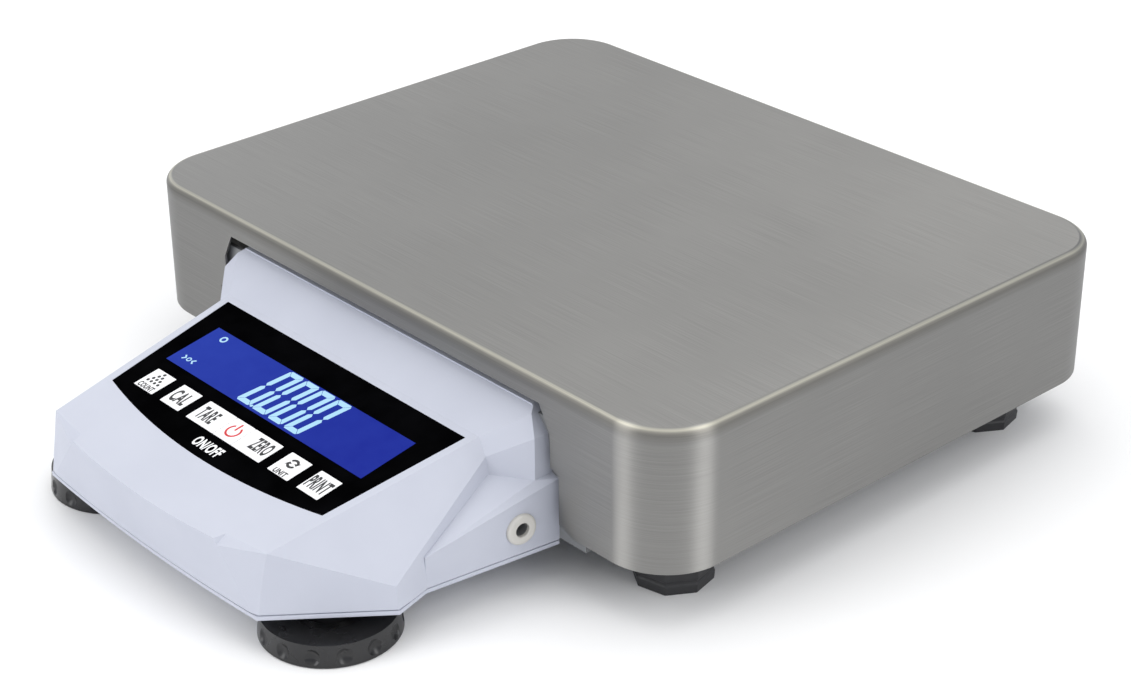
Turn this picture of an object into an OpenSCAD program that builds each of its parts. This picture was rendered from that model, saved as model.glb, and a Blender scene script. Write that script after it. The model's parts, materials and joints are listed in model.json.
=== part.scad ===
// Bench scale: a stainless platform on a single-point load cell, with a low console in front.
// Origin: centre of the whole scale on the bench. X right, Y to the back, Z up. Millimetres.
// Places in front of the platform's skirt are given as d, the distance forward of its face.

/* [Platform] */
// Width of the platform, left to right
pan_w = 340; // [300:1:420]
// Depth of the platform, front to back
pan_d = 265; // [240:1:330]
// Height of the platform's top above the bench
top_h = 87; // [86.5:0.5:106]
// Height of the platform's skirt
skirt_h = 62; // [50:0.5:64]
// Sheet thickness of the platform
pan_t = 1.2; // [0.8:0.1:2]
// Radius of the platform's corners in plan
corner_r = 28.5; // [18:0.5:35]
// Outside radius of the bend between top and skirt
bend_r = 3.5; // [2.5:0.25:6]
// Gap between the platform's notch and the sides of the console's neck
notch_side_gap = 4; // [2.5:0.25:6]
// Gap between the platform's notch and the top of the console's neck
notch_top_gap = 3.8; // [2.5:0.1:6]

/* [Weighing] */
// Length of the load cell
cell_l = 150; // [130:1:180]
// Width of the load cell
cell_w = 30; // [25:1:40]
// Height of the load cell
cell_h = 40; // [33:0.5:40]
// Diameter of the load cell's bending holes
cell_hole_d = 25; // [18:0.5:27]
// Diameter of the load cell's mounting bolts
cell_bolt_d = 8; // [6:0.5:10]
// Thickness of the spacer under the load cell
lower_spacer_t = 4; // [2:0.5:6]
// Thickness of the frame that carries the platform
spider_t = 3; // [2:0.25:5]
// Height of the rubber bumpers under the platform
bumper_h = 6.8; // [4:0.2:9]
// Diameter of the rubber bumpers
bumper_d = 18; // [12:0.5:26]
// Gap at the overload stops
stop_gap = 0.8; // [0.4:0.1:2]

/* [Base] */
// Height of the base plate's underside above the bench
base_h = 27; // [25.5:0.5:30]
// Sheet thickness of the base
base_t = 2; // [1.5:0.25:3]
// Height of the base's folded edges
base_rim_h = 14; // [8:1:20]
// Width of the upright plate that carries the console
apron_w = 247.2; // [232:0.2:260]
// Height of that plate's lower edge above the bench
apron_low_h = 19; // [17:0.5:24]
// Distance across the corners of an octagonal foot at the bench
foot_d = 33.2; // [26:0.2:42]
// Height of an octagonal foot
foot_h = 24; // [18:0.5:24.2]
// Distance of the feet in from the platform's sides
foot_in_x = 34.4; // [30:0.2:50]
// Distance of the feet in from the platform's front and back
foot_in_y = 38.7; // [34:0.2:60]
// Diameter of the feet's threaded studs
stud_d = 8; // [6:0.5:10]

/* [Console] */
// Distance that the console stands out in front of the platform
reach = 119; // [112:0.5:146]
// Height of the console's underside above the bench
con_low_h = 16; // [14:0.5:18]
// Height of the lower housing's visible lip
lip_h = 2.3; // [1.5:0.1:4]
// Wall thickness of the console's housings
wall = 2.4; // [1.8:0.1:3]
// Slope of the panel
panel_tilt = 10.25; // [6:0.25:12]
// Height of the panel's back edge
panel_back_h = 60.7; // [58:0.1:62]
// Width of the panel at its back edge
panel_back_w = 166.2; // [160:0.2:170]
// Width of the panel at its front corners
panel_front_w = 146; // [130:0.5:150]
// Width of the console at its widest, low down in front
cheek_w = 209.2; // [204:0.2:216]
// Width across the wings where they start
wing_w = 200.4; // [196:0.2:203]
// Flat width of the neck's top
neck_top_w = 188.2; // [180:0.2:192]
// Height of the neck's top
neck_h = 73.4; // [72:0.1:74]

/* [Display and keys] */
// Width of the display window
window_w = 131.8; // [110:0.2:140]
// Depth of the display window along the panel
window_l = 27.4; // [20:0.2:29]
// Thickness of the printed overlay
overlay_t = 0.6; // [0.4:0.1:0.8]
// Width of a single key
key_w = 13.1; // [10:0.1:14]
// Depth of the keys along the panel
key_l = 12.7; // [10:0.1:14]
// Width of the middle bar of three keys
bar_w = 49.8; // [44:0.2:52]
// Travel of a key
key_travel = 0.4; // [0.2:0.05:0.8]

/* [Front feet] */
// Diameter of a thumbwheel at its lower edge
wheel_d = 56.2; // [44:0.2:60]
// Height of a thumbwheel's rim
wheel_h = 9.7; // [7:0.1:11]
// Distance of the thumbwheels from the middle
wheel_x = 73.8; // [68:0.2:78]
// Number of finger dimples round a thumbwheel
dimples = 14; // [8:1:20]

/* [Power inlet] */
// Diameter of the inlet's flange
jack_flange_d = 13.2; // [11:0.1:16]
// Diameter of the hole that takes the plug
jack_bore_d = 5.9; // [5.5:0.1:7]
// Height of the inlet's axis above the bench
jack_h = 29.5; // [28:0.5:33]

/* [Fits] */
// Radial clearance of a turning stud in its thread or hub
thread_fit = 0.05; // [0.03:0.01:0.1]
// Gap round a key in the overlay and housing
key_gap = 0.25; // [0.15:0.05:0.5]
// Gap round pieces that drop into a recess
part_gap = 0.15; // [0.05:0.05:0.4]
// Clearance round a screw's shank
screw_gap = 0.25; // [0.1:0.05:0.5]

/* [Hidden] */

// The scale is centred front to back, so the skirt's face lies here.
face_y = (reach - pan_d) / 2;
pan_y = reach / 2;
function at(d) = face_y - d;

// Colours
steel_col = [0.62, 0.62, 0.6];
shell_col = [0.85, 0.87, 0.91];
dark_col = [0.13, 0.13, 0.15];
zinc_col = [0.72, 0.73, 0.75];
board_col = [0.1, 0.35, 0.2];

// Platform
skirt_z = top_h - skirt_h;
pan_under = top_h - pan_t;

// Weighing stack, from the base plate up
base_top = base_h + base_t;
cell_z = base_top + lower_spacer_t;
cell_top = cell_z + cell_h;
spider_z = pan_under - bumper_h - spider_t;
spider_top = spider_z + spider_t;
spider_x = pan_w / 2 - 32;
spider_y = pan_d / 2 - 29;
spider_bar = 34;
spider_rim_h = 8;
web_x = 80;
bumper_x = spider_x - spider_bar / 2;
bumper_y = spider_y - spider_bar / 2;
bumper_stem_d = 8;
cut = 1;
bolt_depth = 16;
bolt_af = 13;
cell_slot = 8;
potting = [48, 22, 1.2];
cell_bolt_x = [cell_l / 2 - 28, cell_l / 2 - 10];
cell_hole_x = 13;
spacer_l = 40;
bolt_head_h = 5;
socket_af = 5;
stop_af = 10;
stop_nut_h = 5;
stop_x = spider_x - 10;
stop_y = bumper_y - 28;
stop_d = 6;

// Base
base_x = pan_w / 2 - 20;
base_y = pan_d / 2 - 20.5;
back_d = -3.5;
apron_top_h = neck_h - 3.4;
foot_x = pan_w / 2 - foot_in_x;
foot_y = pan_d / 2 - foot_in_y;
foot_top_d = foot_d + 4;
foot_turn = 13;
nut_h = 6.5;
stud_low = 6;
stud_top = base_top + 12;
FEET = [["fl", -1, -1], ["fr", 1, -1], ["bl", -1, 1], ["br", 1, 1]];

// Console outline, as half points [x, d, z]
seam_h = con_low_h + lip_h;
slant_x = 1.15;
slant_z = 1.1;
tongue_h = 3.5;
tongue_in = 1.2;
tongue_t = 1.6;
panel_back_d = 15;
crown = 10;
panel_front_d = reach - crown;
nose_d = reach - 4.2;
nose_w = panel_front_w - 2.6;
nose_crown = 2.6;
cheek_d = reach - 45.9;
front_zone_d = cheek_d - 20;
cheek_h = con_low_h + 12;
wing_d = cheek_d - 16.3;
wing_slope = 0.1344;
wing_front_h = con_low_h + 16;
wing_back_h = 45.9;
neck_side_x = neck_top_w / 2 + 10.4;
neck_fall = 9.9;
neck_flare = 8.2;
lip_back_d = -12;
lip_under = apron_top_h + 0.3;
function panel_z(d) = panel_back_h - (d - panel_back_d) * tan(panel_tilt);
function wing_x(d) = wing_w / 2 + (wing_d - d) * wing_slope;
ridge_out = [panel_back_w / 2 + 5.4, panel_back_d + 1.5, panel_back_h - 5.9];
valley = [panel_back_w / 2 + 6.9, panel_back_d + 1.7, panel_back_h - 13];
shoulder = [neck_side_x, 5.5, panel_back_h - 13.7];
BODY = [
    [nose_w / 2, nose_d, seam_h],
    [cheek_w / 2, cheek_d, seam_h],
    [cheek_w / 2 - 1.5, cheek_d, cheek_h],
    [panel_front_w / 2, panel_front_d, panel_z(panel_front_d)],
    [panel_back_w / 2, panel_back_d, panel_back_h],
    ridge_out, valley, [valley[0], valley[1], seam_h],
    for (i = [0 : 4]) let (x = nose_w / 2 * i / 5)
        [x, nose_d + nose_crown * (1 - pow(i / 5, 2)), seam_h],
    for (i = [0 : 4]) let (x = panel_front_w / 2 * i / 5, d = panel_front_d + crown * (1 - pow(i / 5, 2)))
        [x, d, panel_z(d)]
];
WING = [
    [wing_x(wing_d), wing_d, seam_h],
    [wing_x(wing_d), wing_d, wing_front_h],
    [wing_x(back_d), back_d, seam_h],
    [wing_x(back_d), back_d, wing_back_h],
    valley, shoulder, [shoulder[0], back_d, shoulder[2]]
];
NECK = [
    [panel_back_w / 2, panel_back_d, panel_back_h],
    ridge_out, valley, [valley[0], valley[1], seam_h],
    [neck_top_w / 2 + 2.6, 0, neck_h - 2.4],
    [neck_top_w / 2 + neck_flare, 3.5, neck_h - neck_fall],
    shoulder, [shoulder[0], shoulder[1], seam_h],
    [neck_top_w / 2, back_d, neck_h],
    [neck_top_w / 2 + neck_flare, back_d, neck_h - neck_fall],
    [shoulder[0], back_d, shoulder[2]],
    [shoulder[0], back_d, seam_h]
];
LIP = [
    for (d = [back_d + 1, lip_back_d]) each [
        [neck_top_w / 2, d, neck_h],
        [neck_top_w / 2 + (neck_h - lip_under) * neck_flare / neck_fall, d, lip_under]
    ]
];
BODY_FILL = [[75, 4, seam_h], [75, 4, panel_back_h - 1]];

// Panel pieces, along the slope from the panel's back edge
window_v = -31.4;
key_v = -57.6;
overlay_back_v = -3.4;
overlay_front_v = -68.5;
overlay_back_w = 158;
overlay_front_w = 143.6;
overlay_sag = 8.5;
window_t = 0.6;
lcd_t = 2.8;
backlight_t = 4;
board_t = 1.6;
panel_wall = slant_z * wall;
lcd_w0 = -window_t - 0.1;
display_board_w = lcd_w0 - lcd_t - backlight_t - 0.3 - board_t;
display_board_len = [-76, -14];
display_board_wide = 144;
key_tab = 1.2;
key_tab_t = 1.1;
bar_split = 12;
bar_slit = 0.3;
bar_side_w = (bar_w - bar_split) / 2 - bar_slit;
KEYS = [
    ["key_sample", -55.9, key_w], ["key_cal", -37, key_w],
    ["key_tare", -(bar_w - bar_side_w) / 2, bar_side_w], ["key_power", 0, bar_split],
    ["key_zero", (bar_w - bar_side_w) / 2, bar_side_w],
    ["key_unit", 37, key_w], ["key_print", 55.9, key_w]
];
BOARD_HOLES = [for (sx = [-1, 1], v = [-19, -70]) [sx * 69, v]];

// Boards and cable
board_z = seam_h + 7;
board_screw_d = 2.5;
board_head = [5, 1.8];
shell_screw_d = 3;
shell_head_d = 5.6;
shell_head_h = 1;
neck_screw_d = 4;
neck_head = [7.5, 2.4];
post_d = 7;
boss_d = 8;
board_w = 112;
board_d = [16, 68];
POSTS = [for (sx = [-1, 1], d = [20, 64]) [sx * 52, d]];
CORNERS = [for (p = [[84, 88], [92, 24], [26, 106]]) for (sx = [-1, 1]) [sx * p[0], p[1]]];
NECK_HOLES = [for (sx = [-1, 1], z = [base_top + 6, base_top + 29]) [sx * 80, z]];
cable_d = 4.5;
grommet_x = -30;
grommet_z = 44;
grommet_d = 11;
CABLE = [
    [-62, pan_y - 15.2, 46], [-62, pan_y - 22, 45.5], [-60, pan_y - 34, 43], [-54, pan_y - 48, 39],
    [-46, pan_y - 62, 36], [-38, pan_y - 76, 35], [-32, pan_y - 92, 37], [-30, pan_y - 106, 41],
    [-30, at(-16), 43.5], [-30, at(-8), 44], [-30, at(0), 44], [-30, at(4), 43],
    [-30, at(8), 39.5], [-30, at(11.5), 34.5], [-30, at(14), 31.2], [-30, at(16), 29.8], [-30, at(17.5), 29.5]
];

// Front feet and inlet
wheel_d0 = 83;
wheel_taper = 2;
hub_d = 20;
hub_top = con_low_h - 3;
sole_t = 2;
sole_d = wheel_d - 8.3;
dish_r = 50;
dish_depth = 2.6;
dimple_r = 5;
dimple_depth = 1.8;
insert_d = 12;
insert_top = seam_h + 10;
jack_d = 14.3;
jack_turn = -atan(wing_slope);
jack_dome = 1.6;
jack_barrel_d = 9.6;
jack_len = 11;
jack_pin_d = 2;
jack_pin_tip = 5;
jack_nut_d = 14;
jack_nut_h = 2.2;

// --- helpers -------------------------------------------------------------------------------

// Both sides of a list of half points, drawn in by w where they bound the housing's inside
function both(pts, w = 0) = [
    for (p = pts, s = [-1, 1]) [
        s * max(p[0] - slant_x * w, 0),
        at(p[1] > front_zone_d ? p[1] - slant_x * w : p[1] < 0 ? p[1] + w : p[1]),
        p[2] <= seam_h ? p[2] - (w > 0 ? 1 : 0)
            : p[2] - slant_z * w + (p[1] > front_zone_d ? slant_x * w * tan(panel_tilt) : 0)
    ]
];

module cloud(pts) {
    hull() polyhedron(points = pts, faces = [[for (i = [0 : len(pts) - 1]) i]]);
}

module on_panel(u = 0, v = 0, w = 0) {
    translate([0, at(panel_back_d), panel_back_h]) rotate([panel_tilt, 0, 0])
        translate([u, v, w]) children();
}

module slab(u, v, w, size) {
    on_panel(u, v, w) translate([-size[0] / 2, -size[1] / 2, 0]) cube(size);
}

module rod(d, z0, z1, fn = 48) {
    translate([0, 0, z0]) cylinder(d = d, h = z1 - z0, $fn = fn);
}

module hex(af, z0, z1) {
    translate([0, 0, z0]) cylinder(d = af / cos(30), h = z1 - z0, $fn = 6);
}

module at_feet() {
    for (f = FEET) translate([f[1] * foot_x, pan_y + f[2] * foot_y, 0]) children();
}

// Cross-section of a rounded block from its corner's axis outwards
module rim_profile(h, corner, bend) {
    square([corner - bend, h]);
    square([corner, h - bend]);
    translate([corner - bend, h - bend]) circle(r = bend, $fn = 48);
}

module rounded_block(w, l, h, corner, bend) {
    ix = w / 2 - corner;
    iy = l / 2 - corner;
    translate([-ix, -iy, 0]) cube([2 * ix, 2 * iy, h]);
    for (k = [0 : 3]) rotate([0, 0, 90 * k]) {
        run = k % 2 == 0 ? iy : ix;
        out = k % 2 == 0 ? ix : iy;
        translate([out, run, 0]) rotate([90, 0, 0]) linear_extrude(2 * run) rim_profile(h, corner, bend);
        translate([out, run, 0]) rotate_extrude(angle = 90, $fn = 96) rim_profile(h, corner, bend);
    }
}

// A round tube along a list of points
function unit(a) = a / norm(a);
function heading(p, i) = unit(p[min(i + 1, len(p) - 1)] - p[max(i - 1, 0)]);
function ring(p, i, r, n) = let (t = heading(p, i), a = unit(cross(t, [1, 0, 0.4])), b = cross(t, a))
    [for (k = [0 : n - 1]) p[i] + r * (cos(360 * k / n) * a + sin(360 * k / n) * b)];

module tube(p, r, n = 8) {
    m = len(p);
    polyhedron(
        points = [for (i = [0 : m - 1]) each ring(p, i, r, n)],
        faces = [
            [for (k = [0 : n - 1]) k],
            for (i = [0 : m - 2], k = [0 : n - 1]) let (a = i * n + k, b = i * n + (k + 1) % n)
                each [[a, a + n, b], [b, a + n, b + n]],
            [for (k = [n - 1 : -1 : 0]) (m - 1) * n + k]
        ]
    );
}

module key_cut(extra, w0, h) {
    for (k = KEYS)
        if (abs(k[1]) > bar_w / 2) slab(k[1], key_v, w0, [k[2] + 2 * extra, key_l + 2 * extra, h]);
    slab(0, key_v, w0, [bar_w + 2 * extra, key_l + 2 * extra, h]);
}

module overlay_outline() {
    sag_r = (pow(overlay_front_w / 2, 2) + pow(overlay_sag, 2)) / (2 * overlay_sag);
    intersection() {
        polygon([
            [-overlay_back_w / 2, overlay_back_v], [overlay_back_w / 2, overlay_back_v],
            [overlay_front_w / 2, overlay_front_v], [overlay_front_w / 2, overlay_front_v - overlay_sag],
            [-overlay_front_w / 2, overlay_front_v - overlay_sag], [-overlay_front_w / 2, overlay_front_v]
        ]);
        translate([0, overlay_front_v - overlay_sag + sag_r]) circle(r = sag_r, $fn = 96);
    }
}

// --- platform --------------------------------------------------------------------------------

module notch_outline() {
    top_z = neck_h + notch_top_gap;
    side = neck_side_x + notch_side_gap - 1.5;
    wing = wing_x(0) + notch_side_gap;
    half = [
        [neck_top_w / 2 + 6.9, top_z], [side, top_z - 11.2], [side, wing_back_h + 5.5],
        [wing, wing_back_h + 4], [wing, skirt_z + 3], [wing + 9, skirt_z], [wing + 9, skirt_z - 5]
    ];
    polygon(concat(half, [for (i = [len(half) - 1 : -1 : 0]) [-half[i][0], half[i][1]]]));
}

module platform_pan() {
    color(steel_col) difference() {
        translate([0, pan_y, skirt_z]) rounded_block(pan_w, pan_d, skirt_h, corner_r, bend_r);
        translate([0, pan_y, skirt_z - 1])
            rounded_block(pan_w - 2 * pan_t, pan_d - 2 * pan_t, skirt_h - pan_t + 1,
                corner_r - pan_t, bend_r - pan_t);
        translate([0, at(-pan_t - 2), 0]) rotate([90, 0, 0]) linear_extrude(pan_t + 4) notch_outline();
    }
}

// --- weighing parts --------------------------------------------------------------------------

module pan_spider() {
    color(zinc_col) difference() {
        translate([0, pan_y, spider_z]) {
            for (s = [-1, 1]) {
                translate([-spider_x, s * bumper_y - spider_bar / 2, 0])
                    cube([2 * spider_x, spider_bar, spider_t]);
                for (e = [-1, 1])
                    translate([-spider_x, s * bumper_y + e * (spider_bar / 2 - spider_t / 2) - spider_t / 2,
                        -spider_rim_h]) cube([2 * spider_x, spider_t, spider_rim_h + spider_t]);
            }
            translate([-web_x, -bumper_y, 0]) cube([2 * web_x, 2 * bumper_y, spider_t]);
        }
        for (x = cell_bolt_x) translate([x, pan_y, 0]) rod(cell_bolt_d + 2 * screw_gap, spider_z - 1, top_h);
        for (sx = [-1, 1], sy = [-1, 1])
            translate([sx * bumper_x, pan_y + sy * bumper_y, 0])
                rod(bumper_stem_d, spider_z - 1, top_h);
    }
}

module pan_bumpers() {
    color(dark_col) for (sx = [-1, 1], sy = [-1, 1]) translate([sx * bumper_x, pan_y + sy * bumper_y, 0]) {
        rod(bumper_d, spider_top, pan_under);
        rod(bumper_stem_d, spider_z - 2, spider_top + 0.5);
    }
}

module load_cell() {
    color(zinc_col) difference() {
        translate([-cell_l / 2, pan_y - cell_w / 2, cell_z]) cube([cell_l, cell_w, cell_h]);
        for (s = [-1, 1]) translate([s * cell_hole_x, pan_y - cell_w, cell_z + cell_h / 2])
            rotate([-90, 0, 0]) cylinder(d = cell_hole_d, h = 2 * cell_w, $fn = 48);
        translate([-cell_hole_x, pan_y - cell_w, cell_z + (cell_h - cell_slot) / 2])
            cube([2 * cell_hole_x, 2 * cell_w, cell_slot]);
        for (x = cell_bolt_x) {
            translate([-x, pan_y, 0]) rod(cell_bolt_d, cell_z - cut, cell_z + bolt_depth);
            translate([x, pan_y, 0]) rod(cell_bolt_d, cell_top - bolt_depth, cell_top + cut);
        }
    }
}

module gauge_potting() {
    color([0.9, 0.9, 0.88]) for (z = [cell_top, cell_z - potting[2]])
        translate([-potting[0] / 2, pan_y - potting[1] / 2, z]) cube(potting);
}

module lower_cell_spacer() {
    color(zinc_col) difference() {
        translate([-cell_l / 2, pan_y - cell_w / 2, base_top]) cube([spacer_l, cell_w, lower_spacer_t]);
        for (x = cell_bolt_x) translate([-x, pan_y, 0]) rod(cell_bolt_d + 2 * screw_gap, base_h, cell_z + 1);
    }
}

module upper_cell_spacer() {
    color(zinc_col) difference() {
        translate([cell_l / 2 - spacer_l, pan_y - cell_w / 2, cell_top])
            cube([spacer_l, cell_w, spider_z - cell_top]);
        for (x = cell_bolt_x) translate([x, pan_y, 0]) rod(cell_bolt_d + 2 * screw_gap, cell_top - 1, top_h);
    }
}

module lower_cell_bolts() {
    color(zinc_col) for (x = cell_bolt_x) translate([-x, pan_y, 0]) {
        hex(bolt_af, base_h - bolt_head_h, base_h);
        rod(cell_bolt_d, base_h - cut, cell_z + bolt_depth - 2);
    }
}

module upper_cell_bolts() {
    color(zinc_col) for (x = cell_bolt_x) translate([x, pan_y, 0]) {
        difference() {
            rod(cell_bolt_d + 5, spider_top, spider_top + bolt_head_h);
            hex(socket_af, spider_top + 2, top_h);
        }
        rod(cell_bolt_d, cell_top - bolt_depth + 2, spider_top + cut);
    }
}

module stop_screws() {
    color(zinc_col) for (sx = [-1, 1], sy = [-1, 1]) translate([sx * stop_x, pan_y + sy * stop_y, 0])
        difference() {
            rod(stop_d, base_h - 3, spider_z - stop_gap);
            hex(3, base_h - 4, base_h + 1);
        }
}

module stop_nuts() {
    color(zinc_col) for (sx = [-1, 1], sy = [-1, 1]) translate([sx * stop_x, pan_y + sy * stop_y, 0])
        difference() {
            hex(stop_af, base_top, base_top + stop_nut_h);
            rod(stop_d, base_h, base_top + stop_nut_h + cut);
        }
}

// --- base ------------------------------------------------------------------------------------

module base_frame() {
    front = pan_d / 2 + back_d;
    color([0.55, 0.56, 0.57]) difference() {
        translate([0, pan_y, 0]) {
            translate([-base_x, -base_y, base_h]) cube([2 * base_x, 2 * base_y, base_t]);
            translate([-apron_w / 2, -front, base_h]) cube([apron_w, front, base_t]);
            translate([-apron_w / 2, -front, apron_low_h])
                cube([apron_w, base_t, apron_top_h - apron_low_h]);
            for (s = [-1, 1]) translate([s * (base_x - base_t / 2) - base_t / 2, -base_y, base_h])
                cube([base_t, 2 * base_y, base_rim_h]);
            translate([-base_x, base_y - base_t, base_h]) cube([2 * base_x, base_t, base_rim_h]);
        }
        at_feet() rod(stud_d + 1.2, base_h - 1, base_top + 1);
        for (x = cell_bolt_x) translate([-x, pan_y, 0])
            rod(cell_bolt_d + 2 * screw_gap, base_h - 1, base_top + 1);
        for (sx = [-1, 1], sy = [-1, 1]) translate([sx * stop_x, pan_y + sy * stop_y, 0])
            rod(stop_d, base_h - 1, base_top + 1);
        for (p = NECK_HOLES) translate([p[0], at(back_d) + base_t + 1, p[1]]) rotate([90, 0, 0])
            cylinder(d = neck_screw_d + 2 * screw_gap, h = base_t + 2, $fn = 32);
        translate([grommet_x, at(back_d) + base_t + 1, grommet_z]) rotate([90, 0, 0])
            cylinder(d = grommet_d, h = base_t + 2, $fn = 32);
    }
}

module weld_nuts() {
    color(zinc_col) at_feet() difference() {
        hex(13, base_top, base_top + nut_h);
        rod(stud_d + 2 * thread_fit, base_top - 1, base_top + nut_h + 1);
    }
}

module foot_stud(k) {
    f = FEET[k];
    color(zinc_col) translate([f[1] * foot_x, pan_y + f[2] * foot_y, 0]) rod(stud_d, stud_low, stud_top);
}

module corner_foot(k) {
    f = FEET[k];
    color(dark_col) translate([f[1] * foot_x, pan_y + f[2] * foot_y, 0]) difference() {
        rotate([0, 0, foot_turn + 22.5]) cylinder(d1 = foot_d, d2 = foot_top_d, h = foot_h, $fn = 8);
        rod(stud_d + 2 * thread_fit, stud_low - 0.3, foot_h + 1);
    }
}

// --- console housings --------------------------------------------------------------------------

module upper_housing() {
    color(shell_col) difference() {
        union() {
            cloud(both(BODY));
            cloud(both(WING));
            cloud(both(NECK));
            cloud(both(LIP));
        }
        difference() {
            union() {
                cloud(concat(both(BODY, wall), both(BODY_FILL, wall)));
                cloud(both(WING, wall));
                cloud(both(NECK, wall));
            }
            for (p = BOARD_HOLES) on_panel(p[0], p[1], display_board_w + board_t)
                cylinder(d = 6, h = 20, $fn = 32);
            for (p = CORNERS) translate([p[0], at(p[1]), seam_h + 1])
                cylinder(d = boss_d, h = top_h, $fn = 32);
            for (p = NECK_HOLES) translate([p[0], at(back_d) - 0.5, p[1]]) rotate([90, 0, 0])
                cylinder(d = boss_d, h = 12, $fn = 32);
        }
        on_panel(0, 0, -overlay_t) linear_extrude(10) overlay_outline();
        slab(0, window_v, -wall - 2, [window_w + 2 * part_gap, window_l + 2 * part_gap, 10]);
        key_cut(key_gap, -wall - 2, 10);
        for (p = BOARD_HOLES) on_panel(p[0], p[1], display_board_w)
            cylinder(d = board_screw_d, h = 8, $fn = 24);
        for (p = CORNERS) translate([p[0], at(p[1]), seam_h])
            cylinder(d = shell_screw_d, h = 10, $fn = 24);
        for (p = NECK_HOLES) translate([p[0], at(back_d) + 1, p[1]]) rotate([90, 0, 0])
            cylinder(d = neck_screw_d, h = 11, $fn = 24);
        translate([grommet_x, at(back_d) + 1, grommet_z]) rotate([90, 0, 0])
            cylinder(d = grommet_d, h = wall + 3, $fn = 32);
        jack_axis() cylinder(d = jack_barrel_d + 2 * part_gap, h = 20, center = true, $fn = 48);
    }
}

function outline(o) = let (
    half = [[nose_w / 2 - o, nose_d - o], [cheek_w / 2 - o, cheek_d - o],
        [wing_x(wing_d) - o, wing_d - o], [wing_x(back_d) - o, back_d + o]],
    arc = [for (i = [4 : -1 : -4]) [-(nose_w / 2 - o) * i / 5,
        nose_d + nose_crown * (1 - pow(i / 5, 2)) - o]])
    [for (p = concat([for (i = [len(half) - 1 : -1 : 0]) [-half[i][0], half[i][1]]], arc, half))
        [p[0], at(p[1])]];

module lower_housing() {
    color(shell_col) difference() {
        union() {
            translate([0, 0, con_low_h]) linear_extrude(lip_h) polygon(outline(0));
            translate([0, 0, seam_h - 0.5]) linear_extrude(tongue_h + 0.5) difference() {
                polygon(outline(slant_x * wall + part_gap + tongue_in));
                polygon(outline(slant_x * wall + part_gap + tongue_in + tongue_t));
            }
            for (p = POSTS) translate([p[0], at(p[1]), seam_h - 0.5])
                cylinder(d = post_d, h = board_z - seam_h + 0.5, $fn = 32);
            for (s = [-1, 1]) translate([s * wheel_x, at(wheel_d0), seam_h - 0.5])
                cylinder(d = insert_d + 5, h = insert_top - seam_h + 0.5, $fn = 48);
        }
        for (p = POSTS) translate([p[0], at(p[1]), con_low_h + 1.5])
            cylinder(d = board_screw_d, h = 20, $fn = 24);
        for (p = CORNERS) translate([p[0], at(p[1]), con_low_h - 1]) {
            cylinder(d = shell_screw_d + 2 * screw_gap, h = 20, $fn = 24);
            cylinder(d = shell_head_d + 0.9, h = shell_head_h + 1, $fn = 24);
            translate([0, 0, lip_h + 1]) cylinder(d = boss_d + 4 * part_gap, h = 20, $fn = 32);
        }
        for (s = [-1, 1]) translate([s * wheel_x, at(wheel_d0), con_low_h - 1])
            cylinder(d = insert_d, h = 40, $fn = 48);
        jack_axis() cylinder(d = jack_nut_d + 2, h = 30, center = true, $fn = 48);
    }
}

// --- display and keys --------------------------------------------------------------------------

module keypad_overlay() {
    color([0.03, 0.03, 0.03]) difference() {
        on_panel(0, 0, -overlay_t) linear_extrude(overlay_t) overlay_outline();
        slab(0, window_v, -2, [window_w + 2 * part_gap, window_l + 2 * part_gap, 4]);
        key_cut(key_gap, -2, 4);
    }
}

module display_window() {
    color([0.1, 0.2, 0.7]) slab(0, window_v, -window_t, [window_w, window_l, window_t]);
}

module lcd_panel() {
    color([0.12, 0.2, 0.7]) slab(0, window_v, lcd_w0 - lcd_t, [window_w, window_l, lcd_t]);
}

module lcd_backlight() {
    color([0.9, 0.9, 0.95])
        slab(0, window_v, lcd_w0 - lcd_t - backlight_t, [window_w - 2, window_l - 0.4, backlight_t]);
}

module display_board() {
    len = display_board_len[1] - display_board_len[0];
    mid = (display_board_len[1] + display_board_len[0]) / 2;
    color(board_col) difference() {
        slab(0, mid, display_board_w, [display_board_wide, len, board_t]);
        for (p = BOARD_HOLES) on_panel(p[0], p[1], display_board_w - 1)
            cylinder(d = board_screw_d + 2 * screw_gap, h = board_t + 2, $fn = 24);
    }
}

module display_screws() {
    color(zinc_col) for (p = BOARD_HOLES) on_panel(p[0], p[1], 0) {
        translate([0, 0, display_board_w - board_head[1]])
            cylinder(d = board_head[0], h = board_head[1], $fn = 24);
        translate([0, 0, display_board_w - 1]) cylinder(d = board_screw_d, h = 7, $fn = 24);
    }
}

module tact_switches() {
    plunger_w = -panel_wall - key_tab_t - 1.1 - key_travel;
    color([0.2, 0.2, 0.22]) for (k = KEYS) {
        slab(k[1], key_v, display_board_w + board_t, [6, 6, plunger_w - 1 - display_board_w - board_t]);
        on_panel(k[1], key_v, display_board_w + board_t)
            cylinder(d = 3.5, h = plunger_w - display_board_w - board_t, $fn = 32);
    }
}

module key_cap(i) {
    k = KEYS[i];
    low = -panel_wall - key_tab_t - 1;
    color("white") {
        slab(k[1], key_v, low, [k[2], key_l, -low]);
        slab(k[1], key_v, -panel_wall - key_tab_t - part_gap,
            [min(k[2], key_w) - 2, key_l + 2 * key_gap + 2 * key_tab, key_tab_t]);
    }
}

// --- inside the console ------------------------------------------------------------------------

module main_board() {
    color(board_col) difference() {
        translate([-board_w / 2, at(board_d[1]), board_z]) cube([board_w, board_d[1] - board_d[0], board_t]);
        for (p = POSTS) translate([p[0], at(p[1]), board_z - 1])
            cylinder(d = board_screw_d + 2 * screw_gap, h = board_t + 2, $fn = 24);
    }
}

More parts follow.
